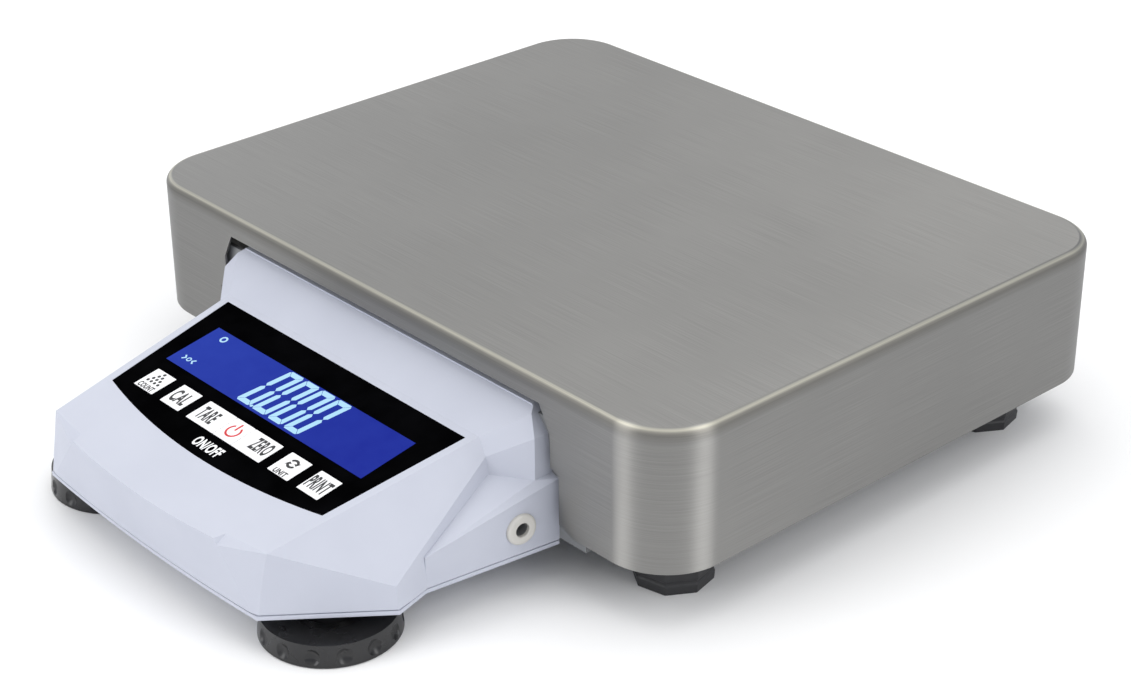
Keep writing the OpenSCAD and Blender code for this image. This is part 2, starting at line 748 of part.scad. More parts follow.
module board_parts() {
    top = board_z + board_t;
    color([0.15, 0.15, 0.17]) {
        translate([-36, at(26), top]) cube([12, 8, 5]);
        translate([-8, at(50), top]) cube([16, 16, 2]);
        translate([14, at(34), top]) cube([20, 6, 7]);
        translate([30, at(56), top]) cylinder(d = 12, h = 6, $fn = 48);
        translate([-34, at(58), top]) cube([22, 12, 6]);
    }
}

module board_screws() {
    color(zinc_col) for (p = POSTS) translate([p[0], at(p[1]), 0]) {
        translate([0, 0, board_z + board_t]) cylinder(d = board_head[0], h = board_head[1], $fn = 24);
        translate([0, 0, board_z - 5]) cylinder(d = board_screw_d, h = 5 + board_t + 1, $fn = 24);
    }
}

module ribbon_cable() {
    low = board_z + board_t + 7;
    high = panel_z(40) + display_board_w - 1.6;
    color([0.75, 0.75, 0.78]) translate([15, 0, 0]) rotate([90, 0, 90]) linear_extrude(18) polygon([
        [at(33), low], [at(31), low], [at(31), low + 1.4], [at(41), high - 0.5], [at(41), high],
        [at(43), high], [at(43), high - 1.2], [at(33), low + 1]
    ]);
}

module signal_cable() {
    color(dark_col) tube(CABLE, cable_d / 2);
}

module cable_grommet() {
    y = at(back_d) + base_t;
    color(dark_col) translate([grommet_x, y, grommet_z]) rotate([90, 0, 0]) difference() {
        union() {
            cylinder(d = grommet_d, h = base_t + wall, $fn = 32);
            translate([0, 0, -1.5]) cylinder(d = grommet_d + 4, h = 1.5, $fn = 32);
        }
        translate([0, 0, -3]) cylinder(d = cable_d + 0.8, h = 20, $fn = 32);
    }
}

// --- power inlet -------------------------------------------------------------------------------

// Local Z runs out of the right wall along the inlet, with z = 0 on the wall's face
module jack_axis() {
    translate([wing_x(jack_d), at(jack_d), jack_h]) rotate([0, 0, jack_turn]) rotate([0, 90, 0]) children();
}

module dc_jack() {
    color([0.86, 0.86, 0.84]) jack_axis() difference() {
        union() {
            rotate_extrude($fn = 64) polygon([
                [0, 0], [jack_flange_d / 2, 0], [jack_flange_d / 2, 0.5],
                for (a = [10 : 20 : 90]) [jack_flange_d / 2 - 1.4 + 1.4 * cos(a), 0.5 + (jack_dome - 0.5) * sin(a)],
                [0, jack_dome]
            ]);
            translate([0, 0, -jack_len]) cylinder(d = jack_barrel_d, h = jack_len + 0.5, $fn = 48);
        }
        translate([0, 0, 1.5 - jack_len]) cylinder(d = jack_bore_d, h = jack_len + 5, $fn = 48);
        translate([0, 0, -jack_len - 1]) cylinder(d = jack_pin_d, h = 5, $fn = 32);
    }
}

module dc_jack_pin() {
    color([0.8, 0.65, 0.3]) jack_axis() translate([0, 0, -jack_len - 2])
        cylinder(d = jack_pin_d, h = jack_len + 2 + jack_dome - jack_pin_tip, $fn = 32);
}

module dc_jack_nut() {
    color(zinc_col) jack_axis() translate([0, 0, -slant_x * wall - jack_nut_h - 0.2]) difference() {
        cylinder(d = jack_nut_d, h = jack_nut_h, $fn = 6);
        translate([0, 0, -1]) cylinder(d = jack_barrel_d, h = 5, $fn = 48);
    }
}

// --- console fasteners and front feet ------------------------------------------------------------

module housing_screws() {
    color(zinc_col) for (p = CORNERS) translate([p[0], at(p[1]), con_low_h]) {
        cylinder(d = shell_head_d, h = shell_head_h, $fn = 24);
        cylinder(d = shell_screw_d, h = lip_h + 9, $fn = 24);
    }
}

module neck_screws() {
    color(zinc_col) for (p = NECK_HOLES) translate([p[0], at(back_d) + base_t, p[1]]) rotate([90, 0, 0]) {
        translate([0, 0, -neck_head[1]]) cylinder(d = neck_head[0], h = neck_head[1], $fn = 24);
        translate([0, 0, -1]) cylinder(d = neck_screw_d, h = 12, $fn = 24);
    }
}

module stud_inserts() {
    color([0.8, 0.65, 0.3]) for (s = [-1, 1]) translate([s * wheel_x, at(wheel_d0), 0]) difference() {
        rod(insert_d, con_low_h, insert_top);
        rod(stud_d + 2 * thread_fit, con_low_h - 1, insert_top + 1);
    }
}

module wheel_stud(s) {
    color(zinc_col) translate([s * wheel_x, at(wheel_d0), 0]) rod(stud_d, 4, insert_top + 1);
}

module thumbwheel(s) {
    color(dark_col) translate([s * wheel_x, at(wheel_d0), 0]) difference() {
        union() {
            difference() {
                translate([0, 0, 0.4])
                    cylinder(d1 = wheel_d, d2 = wheel_d - wheel_taper, h = wheel_h - 0.4, $fn = 96);
                translate([0, 0, wheel_h + dish_r - dish_depth]) sphere(r = dish_r, $fn = 96);
            }
            rod(hub_d, 4, hub_top);
        }
        for (i = [0 : dimples - 1]) rotate([0, 0, 360 * i / dimples])
            translate([wheel_d / 2 + dimple_r - dimple_depth, 0, wheel_h / 2 + 0.2])
                sphere(r = dimple_r, $fn = 24);
        rod(sole_d + 2 * part_gap, -1, sole_t);
        rod(stud_d + 2 * thread_fit, 3.7, hub_top + 1);
    }
}

module wheel_sole(s) {
    color([0.2, 0.2, 0.2]) translate([s * wheel_x, at(wheel_d0), 0]) rod(sole_d, 0, sole_t);
}

// --- the model -----------------------------------------------------------------------------------

platform_pan();
pan_spider();
pan_bumpers();
load_cell();
gauge_potting();
lower_cell_spacer();
upper_cell_spacer();
lower_cell_bolts();
upper_cell_bolts();
stop_screws();
stop_nuts();
base_frame();
weld_nuts();
foot_stud(0);  // foot_stud_fl
foot_stud(1);  // foot_stud_fr
foot_stud(2);  // foot_stud_bl
foot_stud(3);  // foot_stud_br
corner_foot(0);  // corner_foot_fl
corner_foot(1);  // corner_foot_fr
corner_foot(2);  // corner_foot_bl
corner_foot(3);  // corner_foot_br
upper_housing();
lower_housing();
keypad_overlay();
display_window();
lcd_panel();
lcd_backlight();
display_board();
display_screws();
tact_switches();
key_cap(0);  // key_sample
key_cap(1);  // key_cal
key_cap(2);  // key_tare
key_cap(3);  // key_power
key_cap(4);  // key_zero
key_cap(5);  // key_unit
key_cap(6);  // key_print
main_board();
board_parts();
board_screws();
ribbon_cable();
signal_cable();
cable_grommet();
dc_jack();
dc_jack_pin();
dc_jack_nut();
housing_screws();
neck_screws();
stud_inserts();
wheel_stud(-1);  // wheel_stud_l
wheel_stud(1);  // wheel_stud_r
thumbwheel(-1);  // thumbwheel_l
thumbwheel(1);  // thumbwheel_r
wheel_sole(-1);  // wheel_sole_l
wheel_sole(1);  // wheel_sole_r
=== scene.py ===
# %% [markdown]
# # Bench scale: the looks
# A stainless platform sits over a load cell, and a low plastic console stands in front of it.
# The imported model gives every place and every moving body, so it is loaded first. The pieces
# built below ride on its bodies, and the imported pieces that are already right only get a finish.

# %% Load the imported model
import json
import math

import bmesh
import bpy
from mathutils import Matrix, Vector

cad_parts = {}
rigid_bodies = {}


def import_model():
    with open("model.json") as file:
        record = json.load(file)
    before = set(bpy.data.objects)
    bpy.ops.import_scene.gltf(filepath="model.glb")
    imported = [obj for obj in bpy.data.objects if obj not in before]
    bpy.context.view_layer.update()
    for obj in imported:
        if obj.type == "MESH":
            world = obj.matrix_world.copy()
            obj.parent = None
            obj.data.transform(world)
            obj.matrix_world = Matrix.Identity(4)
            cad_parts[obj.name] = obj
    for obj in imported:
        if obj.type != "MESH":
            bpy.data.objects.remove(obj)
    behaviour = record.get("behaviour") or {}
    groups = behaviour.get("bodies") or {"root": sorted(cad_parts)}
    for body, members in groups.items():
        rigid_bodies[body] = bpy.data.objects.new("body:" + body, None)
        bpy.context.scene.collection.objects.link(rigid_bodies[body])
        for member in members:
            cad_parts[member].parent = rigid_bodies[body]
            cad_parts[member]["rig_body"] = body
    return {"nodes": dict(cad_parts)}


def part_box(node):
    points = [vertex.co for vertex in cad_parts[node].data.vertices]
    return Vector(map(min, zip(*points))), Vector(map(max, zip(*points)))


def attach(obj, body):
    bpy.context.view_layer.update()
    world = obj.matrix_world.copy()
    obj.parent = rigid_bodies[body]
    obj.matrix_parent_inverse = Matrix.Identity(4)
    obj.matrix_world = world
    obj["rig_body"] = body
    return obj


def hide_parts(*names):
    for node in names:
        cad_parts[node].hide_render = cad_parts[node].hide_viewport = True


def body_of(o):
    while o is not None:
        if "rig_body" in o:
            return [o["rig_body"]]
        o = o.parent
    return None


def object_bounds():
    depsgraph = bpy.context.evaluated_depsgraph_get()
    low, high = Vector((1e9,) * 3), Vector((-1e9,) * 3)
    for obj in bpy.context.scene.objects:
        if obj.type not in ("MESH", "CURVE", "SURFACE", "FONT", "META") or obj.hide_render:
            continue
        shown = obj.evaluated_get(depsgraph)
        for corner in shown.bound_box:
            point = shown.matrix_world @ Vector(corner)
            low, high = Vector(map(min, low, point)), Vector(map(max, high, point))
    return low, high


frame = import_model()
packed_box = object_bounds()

nodes = frame["nodes"]
size = packed_box[1] - packed_box[0]
print("packed model:", len(nodes), "nodes,", [round(s * 1000) for s in size], "mm")

# %% [markdown]
# The console's outline is given the way a maker would measure it: x from the middle, d as the
# distance forward of the platform's skirt, and z above the bench, all in millimetres. Two small
# helpers turn that into metres in the model's frame, so that the rest reads like a drawing.

# %% Places in the frame
MM = 0.001
pan_low, pan_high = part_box("platform_pan")
housing_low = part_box("upper_housing")[0]
skirt_face = pan_low.y
pan_mid_y = (pan_low.y + pan_high.y) / 2


def place(x, d, z):
    """A point in metres from millimetres: x sideways, d forward of the skirt, z up."""
    return Vector((x * MM, skirt_face - d * MM, z * MM))


PANEL_TILT = 10.25
PANEL_BACK_D = 15
PANEL_BACK_H = 60.7
panel_frame = Matrix.Translation(place(0, PANEL_BACK_D, PANEL_BACK_H)) @ Matrix.Rotation(
    math.radians(PANEL_TILT), 4, "X")


def on_panel(u, v, w=0.0):
    """A point on the sloping panel: u to the right, v up the slope, w out of it, in millimetres."""
    return panel_frame @ Vector((u * MM, v * MM, w * MM))


print("skirt face at y", round(skirt_face, 4), "console reaches", round(housing_low.y, 4))

# %% [markdown]
# The camera looks down on the near right corner through a long lens, which keeps the edges nearly
# parallel, as in a catalogue. Its place is given as two angles and a distance from a point on the
# platform, which are easier to reason about than three coordinates.

# %% Camera
CAMERA_AZIMUTH = 48.193
CAMERA_ELEVATION = 27.94
CAMERA_ROLL = -0.4526
CAMERA_DISTANCE = 0.93288
CAMERA_TARGET = Vector((0.08957, -0.04891, 0.087))
LENS_MM = 76.81
SENSOR_MM = 36


def direction(azimuth, elevation):
    """The unit vector towards a compass angle (0 is the operator's side) and a height angle."""
    a = math.radians(azimuth)
    e = math.radians(elevation)
    return Vector((math.sin(a) * math.cos(e), -math.cos(a) * math.cos(e), math.sin(e)))


lens = bpy.data.cameras.new("camera")
lens.lens = LENS_MM
lens.sensor_width = SENSOR_MM
camera = bpy.data.objects.new("camera", lens)
bpy.context.scene.collection.objects.link(camera)
towards_camera = direction(CAMERA_AZIMUTH, CAMERA_ELEVATION)
roll = Matrix.Rotation(math.radians(CAMERA_ROLL), 3, "Z").to_quaternion()
camera.rotation_mode = "QUATERNION"
camera.rotation_quaternion = towards_camera.to_track_quat("Z", "Y") @ roll
camera.location = CAMERA_TARGET + towards_camera * CAMERA_DISTANCE
bpy.context.scene.camera = camera
bpy.context.scene.view_settings.view_transform = "Standard"
print("camera at", [round(c, 3) for c in camera.location])

# %% [markdown]
# Brushed steel shows the studio more than it shows itself, so the light is planned for it: a wide
# box overhead, and a tall box either side of the camera for the two pale bands on the rounded
# corner. A weak card behind lifts the far end of the platform's top. The walls are a ramp over
# height, pale above and greyer near the floor, which gives the dark band under the fold and keeps
# the plastic flat-lit. The white floor shows no edge.

# %% Studio
def softbox(name, azimuth, elevation, distance, width, height, brightness):
    """A rectangular light that faces the scale, set by how bright its face looks."""
    lamp = bpy.data.lights.new(name, "AREA")
    lamp.shape = "RECTANGLE"
    lamp.size = width
    lamp.size_y = height
    lamp.energy = brightness * math.pi * width * height
    box = bpy.data.objects.new(name, lamp)
    box.location = direction(azimuth, elevation) * distance
    box.rotation_mode = "QUATERNION"
    box.rotation_quaternion = direction(azimuth, elevation).to_track_quat("Z", "Y")
    bpy.context.scene.collection.objects.link(box)
    return box


# Name, azimuth and elevation in degrees, then distance, width and height in metres, brightness.
LIGHTS = [("overhead_box", 200, 78, 1.9, 2.4, 2.4, 0.55),
          ("left_box", -18, 26, 1.9, 0.9, 1.6, 2.6),
          ("right_box", 101, 26, 1.9, 0.8, 1.6, 2.7),
          ("back_card", 252, 28, 2.4, 1.5, 1.3, 0.7)]
for light in LIGHTS:
    softbox(*light)

world = bpy.data.worlds.new("studio")
world.use_nodes = True
sky = world.node_tree
view = sky.nodes.new("ShaderNodeTexCoord")
upwards = sky.nodes.new("ShaderNodeSeparateXYZ")
walls = sky.nodes.new("ShaderNodeValToRGB")
walls.color_ramp.elements[0].position = 0.0
walls.color_ramp.elements[0].color = (0.30, 0.32, 0.38, 1)
walls.color_ramp.elements[1].position = 0.75
walls.color_ramp.elements[1].color = (1.0, 1.0, 1.0, 1)
halfway = walls.color_ramp.elements.new(0.45)
halfway.color = (0.76, 0.78, 0.82, 1)
sky.links.new(view.outputs["Generated"], upwards.inputs["Vector"])
sky.links.new(upwards.outputs["Z"], walls.inputs["Fac"])
sky.links.new(walls.outputs["Color"], sky.nodes["Background"].inputs["Color"])
bpy.context.scene.world = world
print("studio:", len(LIGHTS), "soft lights and walls that darken towards the floor")

# %% [markdown]
# Every finish is a small tree of nodes: one Principled shader, a noise or two in the piece's own
# coordinates, and ramps that turn the noise into colour, roughness and bump. The helpers keep each
# finish down to a few lines. Anything that is the same all over goes straight on the shader.

# %% Helpers for finishes
def finish(name, **uniform):
    """A material whose shader already has its even values."""
    made = bpy.data.materials.new(name)
    made.use_nodes = True
    shader = made.node_tree.nodes["Principled BSDF"]
    for socket, value in uniform.items():
        shader.inputs[socket.replace("_", " ")].default_value = value
    return made


def noise(made, scale, stretch=(1, 1, 1), detail=3.0, coordinates="Object"):
    """The Factor output of a noise texture, in metres on the piece."""
    tree = made.node_tree
    source = tree.nodes.new("ShaderNodeTexCoord")
    mapping = tree.nodes.new("ShaderNodeMapping")
    mapping.inputs["Scale"].default_value = stretch
    texture = tree.nodes.new("ShaderNodeTexNoise")
    texture.inputs["Scale"].default_value = scale
    texture.inputs["Detail"].default_value = detail
    tree.links.new(source.outputs[coordinates], mapping.inputs["Vector"])
    tree.links.new(mapping.outputs["Vector"], texture.inputs["Vector"])
    return texture.outputs["Fac"]


def tint(made, fac, dark, light, low=0.35, high=0.65):
    """Base colour that runs from dark to light with fac."""
    tree = made.node_tree
    ramp = tree.nodes.new("ShaderNodeValToRGB")
    ramp.color_ramp.elements[0].position = low
    ramp.color_ramp.elements[0].color = (*dark, 1)
    ramp.color_ramp.elements[1].position = high
    ramp.color_ramp.elements[1].color = (*light, 1)
    tree.links.new(fac, ramp.inputs["Fac"])
    tree.links.new(ramp.outputs["Color"], tree.nodes["Principled BSDF"].inputs["Base Color"])


def roughen(made, fac, low, high):
    """Roughness that runs from low to high with fac."""
    tree = made.node_tree
    spread = tree.nodes.new("ShaderNodeMapRange")
    spread.inputs["From Min"].default_value = 0.3
    spread.inputs["From Max"].default_value = 0.7
    spread.inputs["To Min"].default_value = low
    spread.inputs["To Max"].default_value = high
    tree.links.new(fac, spread.inputs["Value"])
    tree.links.new(spread.outputs["Result"], tree.nodes["Principled BSDF"].inputs["Roughness"])


def bump(made, fac, strength, depth):
    """Relief of that depth in millimetres."""
    tree = made.node_tree
    relief = tree.nodes.new("ShaderNodeBump")
    relief.inputs["Strength"].default_value = strength
    relief.inputs["Distance"].default_value = depth * MM
    tree.links.new(fac, relief.inputs["Height"])
    tree.links.new(relief.outputs["Normal"], tree.nodes["Principled BSDF"].inputs["Normal"])


print("finish helpers ready")

# %% [markdown]
# The floor is one wide pale sheet. It belongs to the studio and not to the scale, so it is marked
# as stage. A trace of grain keeps it from being a flat fill when something is looked at up close.

# %% Floor
FLOOR_HALF = 9.0
floor_mesh = bpy.data.meshes.new("floor")
floor_mesh.from_pydata(
    [(-FLOOR_HALF, -FLOOR_HALF, 0), (FLOOR_HALF, -FLOOR_HALF, 0),
     (FLOOR_HALF, FLOOR_HALF, 0), (-FLOOR_HALF, FLOOR_HALF, 0)], [], [(0, 1, 2, 3)])
floor = bpy.data.objects.new("floor", floor_mesh)
bpy.context.scene.collection.objects.link(floor)
floor_paper = finish("floor_paper", Roughness=0.9)
tint(floor_paper, noise(floor_paper, 3), (0.90, 0.90, 0.90), (0.93, 0.93, 0.93))
floor_mesh.materials.append(floor_paper)
print("floor", 2 * FLOOR_HALF, "m wide")

# %% [markdown]
# The steel was brushed with a belt that ran along the folded edges, so its grain is a noise that
# is over a hundred times finer one way than the other. Such a surface smears a reflection across
# the grain, and that is what anisotropy does: the tangent comes from a UV map whose U crosses the
# grain. A ramp over height paints a thin bright highlight along the fold, with painted shade below it.

# %% Brushed steel
GRAIN_FINENESS = 130
FOLD_DEPTH = 6
# How high up the fold, from 0 to 1, and what the steel's colour is multiplied by there: below 1 is painted
# shade, above 1 a painted highlight.
FOLD_PAINTED_LIGHT = [(0.30, (0.86, 0.86, 0.85)), (0.66, (0.80, 0.79, 0.76)), (0.82, (1.05, 1.03, 0.96)),
              (0.91, (1.85, 1.82, 1.62)), (0.965, (1.60, 1.58, 1.45)), (0.99, (1.02, 1.02, 1.0))]


def brushed_steel():
    """Steel with a belt-brushed grain, cloudy patches, and a painted highlight line over a band of painted
    shade along the fold.
    """
    made = finish("brushed_steel", Metallic=1.0, Anisotropic=0.95)
    tree = made.node_tree
    tangent = tree.nodes.new("ShaderNodeTangent")
    tangent.direction_type = "UV_MAP"
    tangent.uv_map = "grain"
    tree.links.new(tangent.outputs["Tangent"], tree.nodes["Principled BSDF"].inputs["Tangent"])
    lines = noise(made, 22, (GRAIN_FINENESS, 1, 1), 4, "UV")
    patches = noise(made, 9, (1, 1, 1), 5)
    both = tree.nodes.new("ShaderNodeMix")
    both.inputs["Factor"].default_value = 0.4
    tree.links.new(lines, both.inputs["A"])
    tree.links.new(patches, both.inputs["B"])
    tint(made, both.outputs["Result"], (0.290, 0.286, 0.275), (0.368, 0.362, 0.348))
    shader = tree.nodes["Principled BSDF"]
    source = tree.nodes.new("ShaderNodeTexCoord")
    split = tree.nodes.new("ShaderNodeSeparateXYZ")
    fold = tree.nodes.new("ShaderNodeMapRange")
    fold.inputs["From Min"].default_value = pan_high.z - FOLD_DEPTH * MM
    fold.inputs["From Max"].default_value = pan_high.z
    # Painted light: this ramp over height darkens the colour into a band of painted shade, then lifts it
    # past 1 into a thin painted highlight at the top of the fold.
    fold_light_ramp = tree.nodes.new("ShaderNodeValToRGB")
    stops = fold_light_ramp.color_ramp.elements
    stops[0].position, stops[0].color = 0.0, (1, 1, 1, 1)
    stops[1].position, stops[1].color = 1.0, (1, 1, 1, 1)
    for position, tone in FOLD_PAINTED_LIGHT:
        stops.new(position).color = (*tone, 1)
    fold_light_mix = tree.nodes.new("ShaderNodeMix")
    fold_light_mix.data_type = "RGBA"
    fold_light_mix.blend_type = "MULTIPLY"
    fold_light_mix.inputs["Factor"].default_value = 1.0
    brushed = shader.inputs["Base Color"].links[0].from_socket
    tree.links.new(source.outputs["Object"], split.inputs["Vector"])
    tree.links.new(split.outputs["Z"], fold.inputs["Value"])
    tree.links.new(fold.outputs["Result"], fold_light_ramp.inputs["Fac"])
    tree.links.new(brushed, fold_light_mix.inputs["A"])
    tree.links.new(fold_light_ramp.outputs["Color"], fold_light_mix.inputs["B"])
    tree.links.new(fold_light_mix.outputs["Result"], shader.inputs["Base Color"])
    roughen(made, both.outputs["Result"], 0.46, 0.54)
    bump(made, lines, 0.2, 0.02)
    return made


steel = brushed_steel()
print("finish:", steel.name)

# %% [markdown]
# Meshes are built with bmesh and handed over by the same few helpers: one makes the object, one
# smooths it while it keeps real edges sharp, and one turns modifiers into plain mesh so that a
# finished piece has no modifiers left and sits at the origin.

# %% Helpers for pieces
def new_piece(name, bm, material, smooth=30):
    """An object from a bmesh, with its faces smooth up to an angle in degrees."""
    mesh = bpy.data.meshes.new(name)
    bm.to_mesh(mesh)
    bm.free()
    mesh.materials.append(material)
    piece = bpy.data.objects.new(name, mesh)
    bpy.context.scene.collection.objects.link(piece)
    soften(piece, smooth)
    return piece


def soften(piece, degrees):
    """Smooth shading, with edges over that angle kept sharp and the big faces kept flat."""
    piece.data.shade_smooth()
    piece.data.set_sharp_from_angle(angle=math.radians(degrees))
    flat_faces = piece.modifiers.new("flat_faces", "WEIGHTED_NORMAL")
    flat_faces.keep_sharp = True
    return settle(piece)


def settle(piece):
    """Turns the modifiers into plain mesh."""
    evaluated = piece.evaluated_get(bpy.context.evaluated_depsgraph_get())
    mesh = bpy.data.meshes.new_from_object(evaluated)
    piece.modifiers.clear()
    piece.data = mesh
    return piece


def carve(piece, tool, operation="DIFFERENCE"):
    """Cuts the tool out of the piece, or joins it on, and throws the tool away."""
    change = piece.modifiers.new("carve", "BOOLEAN")
    change.operation = operation
    change.solver = "EXACT"
    change.object = tool
    settle(piece)
    bpy.data.objects.remove(tool)
    return piece


def round_edges(piece, width, segments=3, degrees=30):
    """Rounds every edge sharper than an angle, width in millimetres."""
    rounding = piece.modifiers.new("round", "BEVEL")
    rounding.width = width * MM
    rounding.segments = segments
    rounding.limit_method = "ANGLE"
    rounding.angle_limit = math.radians(degrees)
    return settle(piece)


def prism(outline, low, high, matrix=Matrix.Identity(4)):
    """A bmesh of a flat outline in millimetres, raised from low to high and put in place."""
    bm = bmesh.new()
    bottom = [bm.verts.new(matrix @ Vector((x * MM, y * MM, low * MM))) for x, y in outline]
    top = [bm.verts.new(matrix @ Vector((x * MM, y * MM, high * MM))) for x, y in outline]
    bm.faces.new(bottom[::-1])
    bm.faces.new(top)
    for i in range(len(outline)):
        j = (i + 1) % len(outline)
        bm.faces.new((bottom[i], bottom[j], top[j], top[i]))
    bmesh.ops.recalc_face_normals(bm, faces=bm.faces)
    return bm


def report(piece):
    """Says how big a finished piece is."""
    print(f"{piece.name}: {len(piece.data.polygons)} faces")
    return piece


print("piece helpers ready")

# %% [markdown]
# The platform is one sheet folded down on four sides, with welded and ground corners. It could be
# a box with a bevel, but then the grain would have nothing to follow. Sweeping the section round
# the rounded rectangle gives each face a length along the edge and a height across it, which are
# just the two numbers that the grain needs.

# %% Platform sheet
PAN_CORNER = 28.5
PAN_BEND = 3.5
PAN_SHEET = 1.2
CORNER_STEPS = 24
SIDE_STEPS = 16
WALL_ROWS = 10
BEND_ROWS = 10
TOP_ROWS = (8, 14, 20)


def rounded_rectangle(half_x, half_y, radius, per_corner, per_side):
    """Points, outward directions and running length round a rounded rectangle, in millimetres."""
    points = []
    corners = [(1, -1, -90), (1, 1, 0), (-1, 1, 90), (-1, -1, 180)]
    for k, (sx, sy, start) in enumerate(corners):
        cx = sx * (half_x - radius)
        cy = sy * (half_y - radius)
        for i in range(per_corner + 1):
            a = math.radians(start + 90 * i / per_corner)
            points.append((cx + radius * math.cos(a), cy + radius * math.sin(a),
                           math.cos(a), math.sin(a)))
        nx, ny, next_start = corners[(k + 1) % 4]
        b = math.radians(next_start)
        end = (nx * (half_x - radius) + radius * math.cos(b),
               ny * (half_y - radius) + radius * math.sin(b))
        x0, y0 = points[-1][:2]
        for i in range(1, per_side):
            t = i / per_side
            points.append((x0 + (end[0] - x0) * t, y0 + (end[1] - y0) * t, math.cos(b), math.sin(b)))
    return points


def pan_section(height):
    """(inward, up) points of the sheet's outside, from its lower edge over the bend."""
    wall = [(0, (height - PAN_BEND) * i / WALL_ROWS) for i in range(WALL_ROWS + 1)]
    bend = [(PAN_BEND * (1 - math.cos(a)), height - PAN_BEND + PAN_BEND * math.sin(a))
            for a in (math.radians(90 * i / BEND_ROWS) for i in range(1, BEND_ROWS + 1))]
    return wall + bend + [(inward, height) for inward in TOP_ROWS]


def platform_sheet():
    """The outside of the folded sheet, with the running lengths of its grain as a UV map."""
    height = (pan_high.z - pan_low.z) / MM
    rim = rounded_rectangle((pan_high.x - pan_low.x) / 2 / MM, (pan_high.y - pan_low.y) / 2 / MM,
                            PAN_CORNER, CORNER_STEPS, SIDE_STEPS)
    section = pan_section(height)
    bm = bmesh.new()
    grain = bm.loops.layers.uv.new("grain")
    rings = [[bm.verts.new(((x - nx * inward) * MM, pan_mid_y + (y - ny * inward) * MM,
                            pan_low.z + up * MM)) for x, y, nx, ny in rim]
             for inward, up in section]
    along = [0.0]
    for a, b in zip(rings[0], rings[0][1:] + rings[0][:1]):
        along.append(along[-1] + (b.co - a.co).length)
    across = [0.0]
    for a, b in zip(section, section[1:]):
        across.append(across[-1] + math.dist(a, b) * MM)
    flat_from = WALL_ROWS + BEND_ROWS
    for j in range(len(section) - 1):
        for i in range(len(rim)):
            k = (i + 1) % len(rim)
            face = bm.faces.new((rings[j][i], rings[j][k], rings[j + 1][k], rings[j + 1][i]))
            corners = ((j, i), (j, i + 1), (j + 1, i + 1), (j + 1, i))
            for loop, (row, column) in zip(face.loops, corners):
                co = loop.vert.co
                loop[grain].uv = (co.y, co.x) if j >= flat_from else (across[row], along[column])
    lid = bm.faces.new(rings[-1])
    for loop in lid.loops:
        loop[grain].uv = (loop.vert.co.y, loop.vert.co.x)
    return new_piece("platform", bm, steel)


platform = platform_sheet()
sheet = platform.modifiers.new("sheet", "SOLIDIFY")
sheet.thickness = PAN_SHEET * MM
sheet.offset = -1
settle(platform)
report(platform)

# %% [markdown]
# The console's neck passes through a stepped notch in the front skirt. The notch is punched
# straight through, so one prism cuts it, and a hair of rounding on the cut keeps the edge from
# being razor thin, which no sheet-metal shop would leave.

# %% Notch in the skirt
NOTCH = [(101, 77.2), (107, 66), (107, 51.4), (111.8, 49.9), (111.8, 28), (120.8, 25), (120.8, 15)]
PUNCH_REACH = 4
upright = Matrix.Translation((0, skirt_face, 0)) @ Matrix.Rotation(math.radians(90), 4, "X")
notch_outline = NOTCH + [(-x, z) for x, z in reversed(NOTCH)]
punch = prism(notch_outline, -PUNCH_REACH, PUNCH_REACH, upright)
carve(platform, new_piece("notch_tool", punch, steel))
round_edges(platform, 0.2, 2, 50)
soften(platform, 35)
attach(platform, "pan")
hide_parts("platform_pan")
report(platform)

# %% [markdown]
# The console is moulded in a cool white ABS. Moulded plastic is never one flat colour: it has a
# fine spark-eroded texture that breaks up the highlight, and handling leaves it a little glossier
# in places. Both are noises of very different size.

# %% Console plastic
def moulded(name, dark, light, gloss_low, gloss_high, texture=0.35):
    """Moulded plastic with a fine eroded texture and slow changes of gloss."""
    made = finish(name)
    tint(made, noise(made, 30), dark, light)
    roughen(made, noise(made, 55, detail=5), gloss_low, gloss_high)
    bump(made, noise(made, 2600, detail=2), texture, 0.02)
    return made


shell_white = moulded("shell_white", (0.480, 0.500, 0.575), (0.500, 0.520, 0.595), 0.48, 0.56)
print("finish:", shell_white.name)

# %% [markdown]
# The upper housing is a faceted form, so a few convex blocks joined together give every facet
# exactly: the sloping body, the wings beside it, the neck that runs under the platform and a low
# lip on top of the neck. The corners are typed once for the right side and mirrored. Only then are
# the edges rounded, so that facets meet in the soft lines that moulding needs.

# %% Outline of the console
SEAM_H = 18.3
WALL = 2.4
CHEEK_D = 73.1
PANEL_SIDE = 83.1
NOSE = (71.7, 114.8)
NOSE_CROWN = 2.6
NECK_BACK_D = -3.5
CHEEK_X = 104.6
WING_HALF = 100.2
WING_D = 56.8
WING_SPREAD = 0.1344


def panel_z(d):
    """Height of the panel's plane at a distance forward of the skirt."""
    return PANEL_BACK_H - (d - PANEL_BACK_D) * math.tan(math.radians(PANEL_TILT))


def wing_x(d):
    """Half width of the wings, which spread towards the back."""
    return WING_HALF + (WING_D - d) * WING_SPREAD


